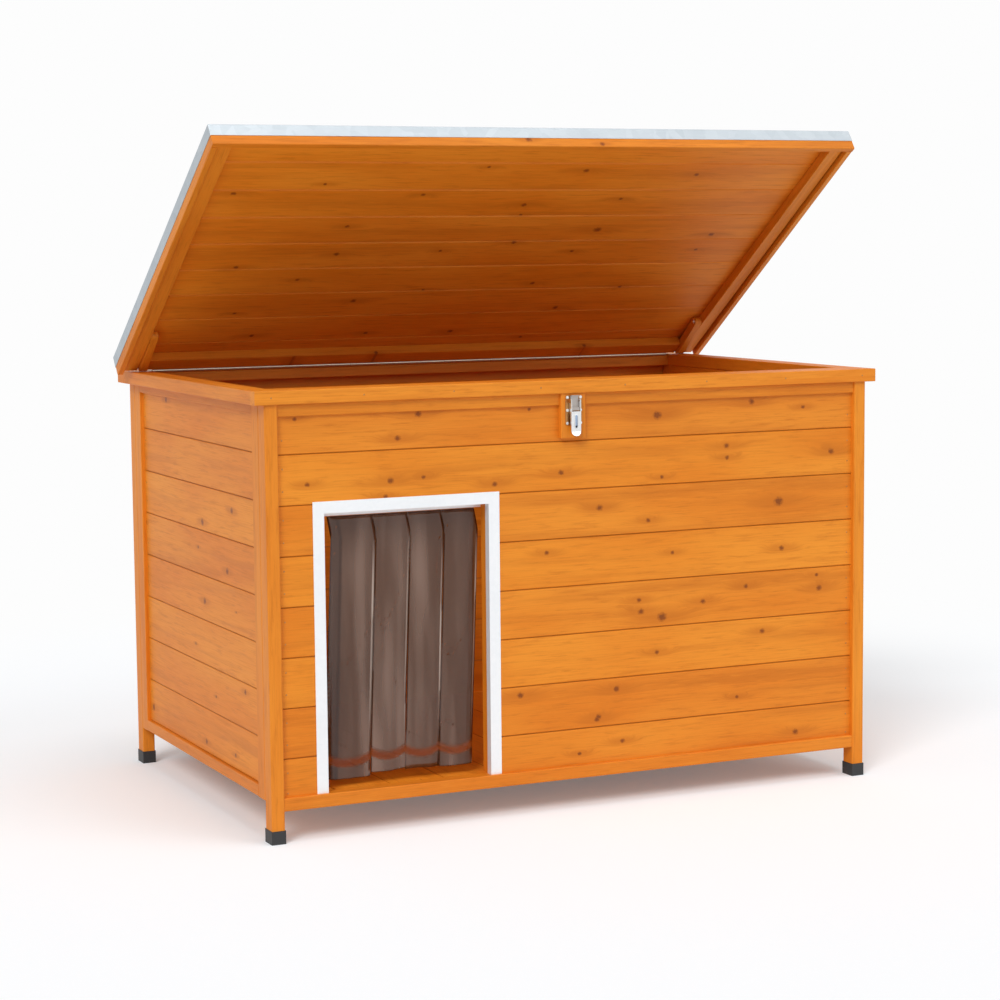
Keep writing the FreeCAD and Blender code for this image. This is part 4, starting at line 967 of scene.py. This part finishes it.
@dataclass
class Hardware:
    """The metal and plastic of the house: its trim, cover, fittings and foot caps."""

    plastic: MouldedPlastic = MouldedPlastic()
    metals: dict[Metal, bpy.types.Material] = field(default_factory=dict)

    def build_metals(self) -> None:
        """Builds each metal once, for the nodes and the small new pieces."""
        for metal, finish in METALS.items():
            self.metals[metal] = finish.build(metal.value)

    def dress_nodes(self, nodes: dict[str, bpy.types.Object]) -> None:
        """Gives every metal and plastic node its finish.

        Args:
            nodes: the CAD nodes by name.
        """
        groups = [(self.metals[metal], names) for metal, names in METAL_NODES.items()]
        groups.append((self.plastic.build("moulded_black_caps"), PLASTIC_NODES))
        for material, names in groups:
            for name in names:
                dress(nodes[name], material)
            LOG.info("finish %s on %d nodes", material.name, len(names))


@dataclass(frozen=True)
class WallPair:
    """Two boarded walls that face each other, as far as their nails need it."""

    courses: Courses
    along: Axis
    out: Axis
    face: float
    end: float
    top: float


@dataclass
class Nails:
    """Nail heads at the ends of the boards and along the rims."""

    radius: float = 1.5 * MM
    height: float = 0.35 * MM
    corners: int = 8
    # Each board has two nails at each end, at these shares of its width.
    shares: tuple[float, float] = (0.28, 0.72)
    inset: float = 9.0 * MM
    boards: int = 8
    lowest: float = 78.0 * MM
    walls: tuple[WallPair, ...] = (
        WallPair(FRONT_COURSES, Axis.X, Axis.Y, face=0.347, end=0.528, top=0.668),
        WallPair(SIDE_COURSES, Axis.Y, Axis.X, face=0.5435, end=0.295, top=0.672),
    )
    rim_count: int = 8
    rim_start: float = -540.0 * MM
    rim_pitch: float = 154.3 * MM
    rim_front: float = -361.0 * MM
    rim_rear: float = 370.0 * MM
    rim_height: float = 703.0 * MM

    def build(self, material: bpy.types.Material) -> None:
        """Builds the nails of the walls and those of the rims.

        Args:
            material: their finish.
        """
        mesh = bmesh.new()
        for pair in self.walls:
            self._nail_walls(mesh, pair)
        for step in range(self.rim_count):
            x = self.rim_start + step * self.rim_pitch
            self._nail(mesh, Vector((x, self.rim_front, self.rim_height)), FORWARD)
            self._nail(mesh, Vector((x, self.rim_rear, self.rim_height)), BACKWARD)
        finish_mesh("wall_nails", mesh, material, "house")
        LOG.info("nails")

    def _nail_walls(self, mesh: bmesh.types.BMesh, pair: WallPair) -> None:
        """Nails both ends of each board of two walls.

        Args:
            mesh: the mesh the heads are added to.
            pair: the walls.
        """
        heights = [pair.courses.start + pair.courses.cover * (board + share)
                   for board in range(self.boards) for share in self.shares]
        along, out = pair.along.unit(), pair.out.unit()
        for height in heights:
            if height >= pair.top:
                continue
            level = UPWARD * max(height, self.lowest)
            for end in (-1.0, 1.0):
                for side in (-1.0, 1.0):
                    place = along * end * (pair.end - self.inset) + out * side * pair.face
                    self._nail(mesh, place + level, out * side)

    def _nail(self, mesh: bmesh.types.BMesh, centre: Vector, normal: Vector) -> None:
        """Adds one nail head."""
        add_pan_head(mesh, centre, normal, self.radius, self.height, self.corners)


@dataclass
class HingeScrews:
    """Countersunk screws along the fixed leaf of the piano hinge."""

    pitch: float = 95.0 * MM
    margin: float = 20.0 * MM
    radius: float = 2.2 * MM
    height: float = 0.5 * MM
    y: float = 315.5 * MM
    z: float = 715.0 * MM

    def build(self, material: bpy.types.Material) -> None:
        """Builds the row of screw heads.

        Args:
            material: their finish.
        """
        low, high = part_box("hinge_leaf_fixed")
        mesh = bmesh.new()
        count = int((high.x - low.x - 2.0 * self.margin) / self.pitch) + 1
        start = -(count - 1) * self.pitch / 2.0
        for index in range(count):
            centre = Vector((start + index * self.pitch, self.y, self.z))
            add_pan_head(mesh, centre, UPWARD, self.radius, self.height)
        finish_mesh("hinge_screws", mesh, material, "house")
        LOG.info("hinge screws: %d", count)


@dataclass
class Lever:
    """The pressed slot and eye in the front of the latch's lever: painted shade on the slot's floor, and a disc
    of painted shadow for the eye.
    """

    x: float = -17.0 * MM
    face_y: float = -368.0 * MM
    slot_high: float = 658.5 * MM
    slot_low: float = 634.5 * MM
    slot_half: float = 3.4 * MM
    wall: float = 1.0 * MM
    corners: int = 24
    # Each plate is a little smaller at its front, as a pressing is.
    draft: float = 0.86
    eye: float = 2.3 * MM
    # How far the rim, the slot's floor and the eye's painted-shadow disc stand proud of the lever.
    rim_proud: float = 0.70 * MM
    floor_proud: float = 0.82 * MM
    eye_proud: float = 0.95 * MM

    def build(self, metal: bpy.types.Material, shade: bpy.types.Material,
              dark: bpy.types.Material) -> None:
        """Builds the slot and a disc of painted shadow for its eye.

        Args:
            metal: the finish of the slot's raised rim.
            shade: the finish of its floor, which carries painted shade.
            dark: the finish of the eye's disc, a nearly black painted shadow.
        """
        rim = bmesh.new()
        self._oval(rim, self.slot_half, self.rim_proud)
        finish_mesh("lever_pressed_rim", rim, metal, "lever")
        floor = bmesh.new()
        self._oval(floor, self.slot_half - self.wall, self.floor_proud)
        finish_mesh("lever_pressed_slot", floor, shade, "lever")
        eye = bmesh.new()
        centre = Vector((self.x, self.face_y, self.slot_low + self.slot_half))
        add_pan_head(eye, centre, FORWARD, self.eye, self.eye_proud)
        finish_mesh("lever_eye_painted_shadow", eye, dark, "lever")
        LOG.info("lever details")

    def _oval(self, mesh: bmesh.types.BMesh, half: float, proud: float) -> None:
        """Adds a round-ended upright plate.

        Args:
            mesh: the mesh it is added to.
            half: half its width.
            proud: how far it stands out from the lever.
        """
        made = bmesh.ops.create_cone(mesh, cap_ends=True, segments=self.corners, radius1=half,
                                     radius2=half * self.draft, depth=proud)
        turn = Matrix.Rotation(math.radians(90.0), 4, "X")
        bmesh.ops.transform(mesh, matrix=turn, verts=made["verts"])
        reach = (self.slot_high - self.slot_low) / 2.0 - self.slot_half
        middle = (self.slot_high + self.slot_low) / 2.0
        for vert in made["verts"]:
            vert.co.z += reach if vert.co.z > 0.0 else -reach
            vert.co += Vector((self.x, self.face_y - proud / 2.0, middle))


# ---- curtain --------------------------------------------------------------------------------


@dataclass
class Curtain:
    """Four soft strips that hang side by side, each with its own ripples and edge."""

    finish: SoftVinyl = SoftVinyl()
    strips: int = 4
    thickness: float = 1.6 * MM
    columns: int = 14
    rows: int = 60
    # A strip bellies forward, sways in slow waves and leans from its top to its foot.
    belly: float = 3.5 * MM
    wave: float = 1.2 * MM
    wave_turn: float = 6.0
    lean_top: float = 8.0 * MM
    lean_foot: float = -8.0 * MM
    lean_start: float = 12.0
    # Its foot is cut unevenly, over the last part of its drop.
    ragged: float = 1.6 * MM
    ragged_turn: float = 4.0
    ragged_share: float = 0.1
    gap_cover: float = 0.35 * MM
    # The first strip's left edge is turned back, with its crease at this share of the width.
    left_return: float = 17.0 * MM
    return_curl: float = 9.0 * MM
    crease: float = 0.22
    seed: int = 40

    def build(self) -> None:
        """Builds each strip in the place of its CAD node."""
        folded = self.finish.build("smoke_vinyl_film_folded", fold=self.crease)
        flat = self.finish.build("smoke_vinyl_film")
        for number in range(1, self.strips + 1):
            node = "curtain_strip_%d" % number
            strip = self._strip(number, node, folded if number == 1 else flat)
            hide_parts(node)
            LOG.info("strip %s", strip.name)

    def _strip(self, number: int, node: str, material: bpy.types.Material) -> bpy.types.Object:
        """Shapes one strip from a grid and gives it its thickness.

        Args:
            number: the strip's number, from 1 at the left.
            node: the CAD node that it stands for.
            material: its finish.

        Returns:
            The strip.
        """
        low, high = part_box(node)
        left = low.x - (self.left_return if number == 1 else self.gap_cover)
        right = high.x + self.gap_cover
        width, length = right - left, high.z - low.z
        mesh = bmesh.new()
        made = bmesh.ops.create_grid(mesh, x_segments=self.columns, y_segments=self.rows, size=0.5)
        chart = mesh.loops.layers.uv.new("strip")
        for face in mesh.faces:
            for loop in face.loops:
                spot = loop.vert.co
                loop[chart].uv = (spot.x + 0.5, spot.y + 0.5)
        phase = random.Random(self.seed + number).uniform(0.0, 6.28)
        for vert in made["verts"]:
            across, up = vert.co.x + 0.5, vert.co.y + 0.5
            drop = 1.0 - up
            lean = self.lean_top + (self.lean_foot - self.lean_top) * drop
            bow = -self.belly * math.sqrt(drop) * math.sin(math.pi * across)
            sway = self.wave * math.sin(self.wave_turn * drop + phase) * drop
            curl = 0.0
            if number == 1:
                turned = max(0.0, 1.0 - across * width / self.left_return)
                curl = self.return_curl * turned**2 * drop
            foot = max(0.0, drop - 1.0 + self.ragged_share) / self.ragged_share
            cut = self.ragged * math.sin(self.ragged_turn * across + phase) * foot
            x = left + width * across + lean * min(1.0, drop * self.lean_start)
            y = (low.y + high.y) / 2.0 + bow + sway + curl
            z = low.z + length * up + max(0.0, cut)
            vert.co = Vector((x, y, z))
        bmesh.ops.solidify(mesh, geom=list(mesh.faces), thickness=self.thickness)
        name = "smoke_strip_%d" % number
        obj = finish_mesh(name, mesh, material, "strip_%d" % number)
        return obj


# ---- studio ---------------------------------------------------------------------------------


def heading(azimuth: float, elevation: float) -> Vector:
    """Gives the direction from the house towards a camera or a lamp.

    Args:
        azimuth: where it stands, in radians to the right of straight in front.
        elevation: how high it stands, in radians.

    Returns:
        A vector one metre long.
    """
    level = math.cos(elevation)
    return Vector((math.sin(azimuth) * level, -math.cos(azimuth) * level, math.sin(elevation)))


@dataclass(frozen=True)
class Sun:
    """A soft far lamp: its angles and its apparent width in degrees, and its strength."""

    name: str
    azimuth: float
    elevation: float
    width: float
    power: float

    def build(self) -> None:
        """Hangs the lamp."""
        data = bpy.data.lights.new(self.name, "SUN")
        data.angle = math.radians(self.width)
        data.energy = self.power
        lamp = bpy.data.objects.new(self.name, data)
        place = heading(math.radians(self.azimuth), math.radians(self.elevation))
        lamp.matrix_world = place.to_track_quat("Z", "Y").to_matrix().to_4x4()
        bpy.context.scene.collection.objects.link(lamp)


@dataclass
class Studio:
    """Pale floor, soft light and the photograph's camera."""

    # The camera's angles are in degrees, its lens in mm on a 36 mm sensor.
    azimuth: float = -25.18
    elevation: float = 6.16
    roll: float = -0.53
    aim_height: float = 400.0 * MM
    shift_right: float = 15.72 * MM
    shift_up: float = 81.75 * MM
    distance: float = 4.3758
    lens: float = 88.67
    sensor: float = 36.0
    clip: tuple[float, float] = (0.1, 100.0)
    floor_size: float = 60.0
    floor_colour: str = "F0F3F6"
    backdrop: str = "FDFDFD"
    floor_lift: float = 0.15
    # The floor turns into plain backdrop between these distances from the house.
    floor_fade: Span = (1.0, 2.2)
    ambient: float = 0.37
    suns: tuple[Sun, ...] = (
        Sun("key", azimuth=-46.0, elevation=38.0, width=24.0, power=1.48),
        Sun("fill", azimuth=42.0, elevation=30.0, width=40.0, power=0.45),
        Sun("top", azimuth=20.0, elevation=78.0, width=30.0, power=0.70),
    )

    def camera(self) -> None:
        """Sets the camera at the photograph's viewing angle."""
        azimuth, roll = math.radians(self.azimuth), math.radians(self.roll)
        back = heading(azimuth, math.radians(self.elevation))
        right = Vector((math.cos(azimuth), math.sin(azimuth), 0.0))
        up = back.cross(right)
        target = UPWARD * self.aim_height + right * self.shift_right + up * self.shift_up
        rolled_right = right * math.cos(roll) + up * math.sin(roll)
        rolled_up = up * math.cos(roll) - right * math.sin(roll)
        data = bpy.data.cameras.new("view")
        data.sensor_fit = "HORIZONTAL"
        data.sensor_width = self.sensor
        data.lens = self.lens
        data.clip_start, data.clip_end = self.clip
        camera = bpy.data.objects.new("view", data)
        turn = Matrix((rolled_right, rolled_up, back)).transposed().to_4x4()
        camera.matrix_world = Matrix.Translation(target + back * self.distance) @ turn
        bpy.context.scene.collection.objects.link(camera)
        bpy.context.scene.camera = camera

    def floor(self) -> None:
        """Lays a wide pale floor that keeps the house's shadow."""
        mesh = bmesh.new()
        bmesh.ops.create_grid(mesh, x_segments=1, y_segments=1, size=self.floor_size)
        data = bpy.data.meshes.new("studio_floor")
        mesh.to_mesh(data)
        mesh.free()
        floor = bpy.data.objects.new("studio_floor", data)
        bpy.context.scene.collection.objects.link(floor)
        # Matt white paper: pale and even, lit up a little and lost in the backdrop further off.
        material, g = new_graph("matt_studio_paper")
        paper = g.add("BsdfDiffuse", Color=linear(self.floor_colour))
        seen = self._seen(g)
        lift = g.add("Emission", Color=(1.0, 1.0, 1.0, 1.0),
                     Strength=g.add("Math:MULTIPLY", seen, self.floor_lift))
        near = g.add("AddShader", paper, lift)
        white = g.add("Emission", Color=linear(self.backdrop), Strength=1.0)
        away = g.add("VectorMath:LENGTH", g.add("TexCoord").outputs["Object"]).outputs[1]
        faded = g.add("MapRange:SMOOTHSTEP", away, *self.floor_fade)
        share = g.add("Math:MULTIPLY", seen, faded)
        close_graph(g, g.add("MixShader", share, near, white))
        dress(floor, material)

    def world(self) -> None:
        """Surrounds the house with even white light, plain white behind it."""
        world = bpy.data.worlds.new("studio")
        world.use_nodes = True
        bpy.context.scene.world = world
        g = Graph(world.node_tree)
        g.tree.nodes.clear()
        rest = g.add("Math:MULTIPLY", self._seen(g), 1.0 - self.ambient)
        strength = g.add("Math:ADD", rest, self.ambient)
        shader = g.add("Background", Color=linear(self.backdrop), Strength=strength)
        g.add("OutputWorld", Surface=shader)

    def _seen(self, g: Graph) -> Node:
        """Marks what the camera sees, straight on, mirrored or through a strip.

        Args:
            g: the nodes of a material or of the world.

        Returns:
            The node that gives 1 there and 0 for all other light.
        """
        rays = g.add("LightPath").outputs
        seen = g.add("Math:MAXIMUM", rays["Is Camera Ray"], rays["Is Glossy Ray"])
        return g.add("Math:MAXIMUM", seen, rays["Is Transmission Ray"])

    def build(self) -> None:
        """Sets up the whole studio."""
        self.camera()
        self.floor()
        self.world()
        for sun in self.suns:
            sun.build()
        bpy.context.scene.view_settings.view_transform = "Standard"
        LOG.info("studio")


def main() -> None:
    """Loads the frame, dresses it, adds its small pieces and sets up the studio."""
    logging.basicConfig(level=logging.INFO)
    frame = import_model()
    Studio().build()
    nodes = frame["nodes"]
    Timber().dress_nodes(nodes)
    hardware = Hardware()
    hardware.build_metals()
    hardware.dress_nodes(nodes)
    metals = hardware.metals
    Curtain().build()
    Nails().build(metals[Metal.STAINED])
    HingeScrews().build(metals[Metal.HINGE])
    Lever().build(metals[Metal.FITTINGS], metals[Metal.PAINTED_SLOT_SHADE], metals[Metal.PAINTED_EYE_SHADOW])


if __name__ == "__main__":
    main()
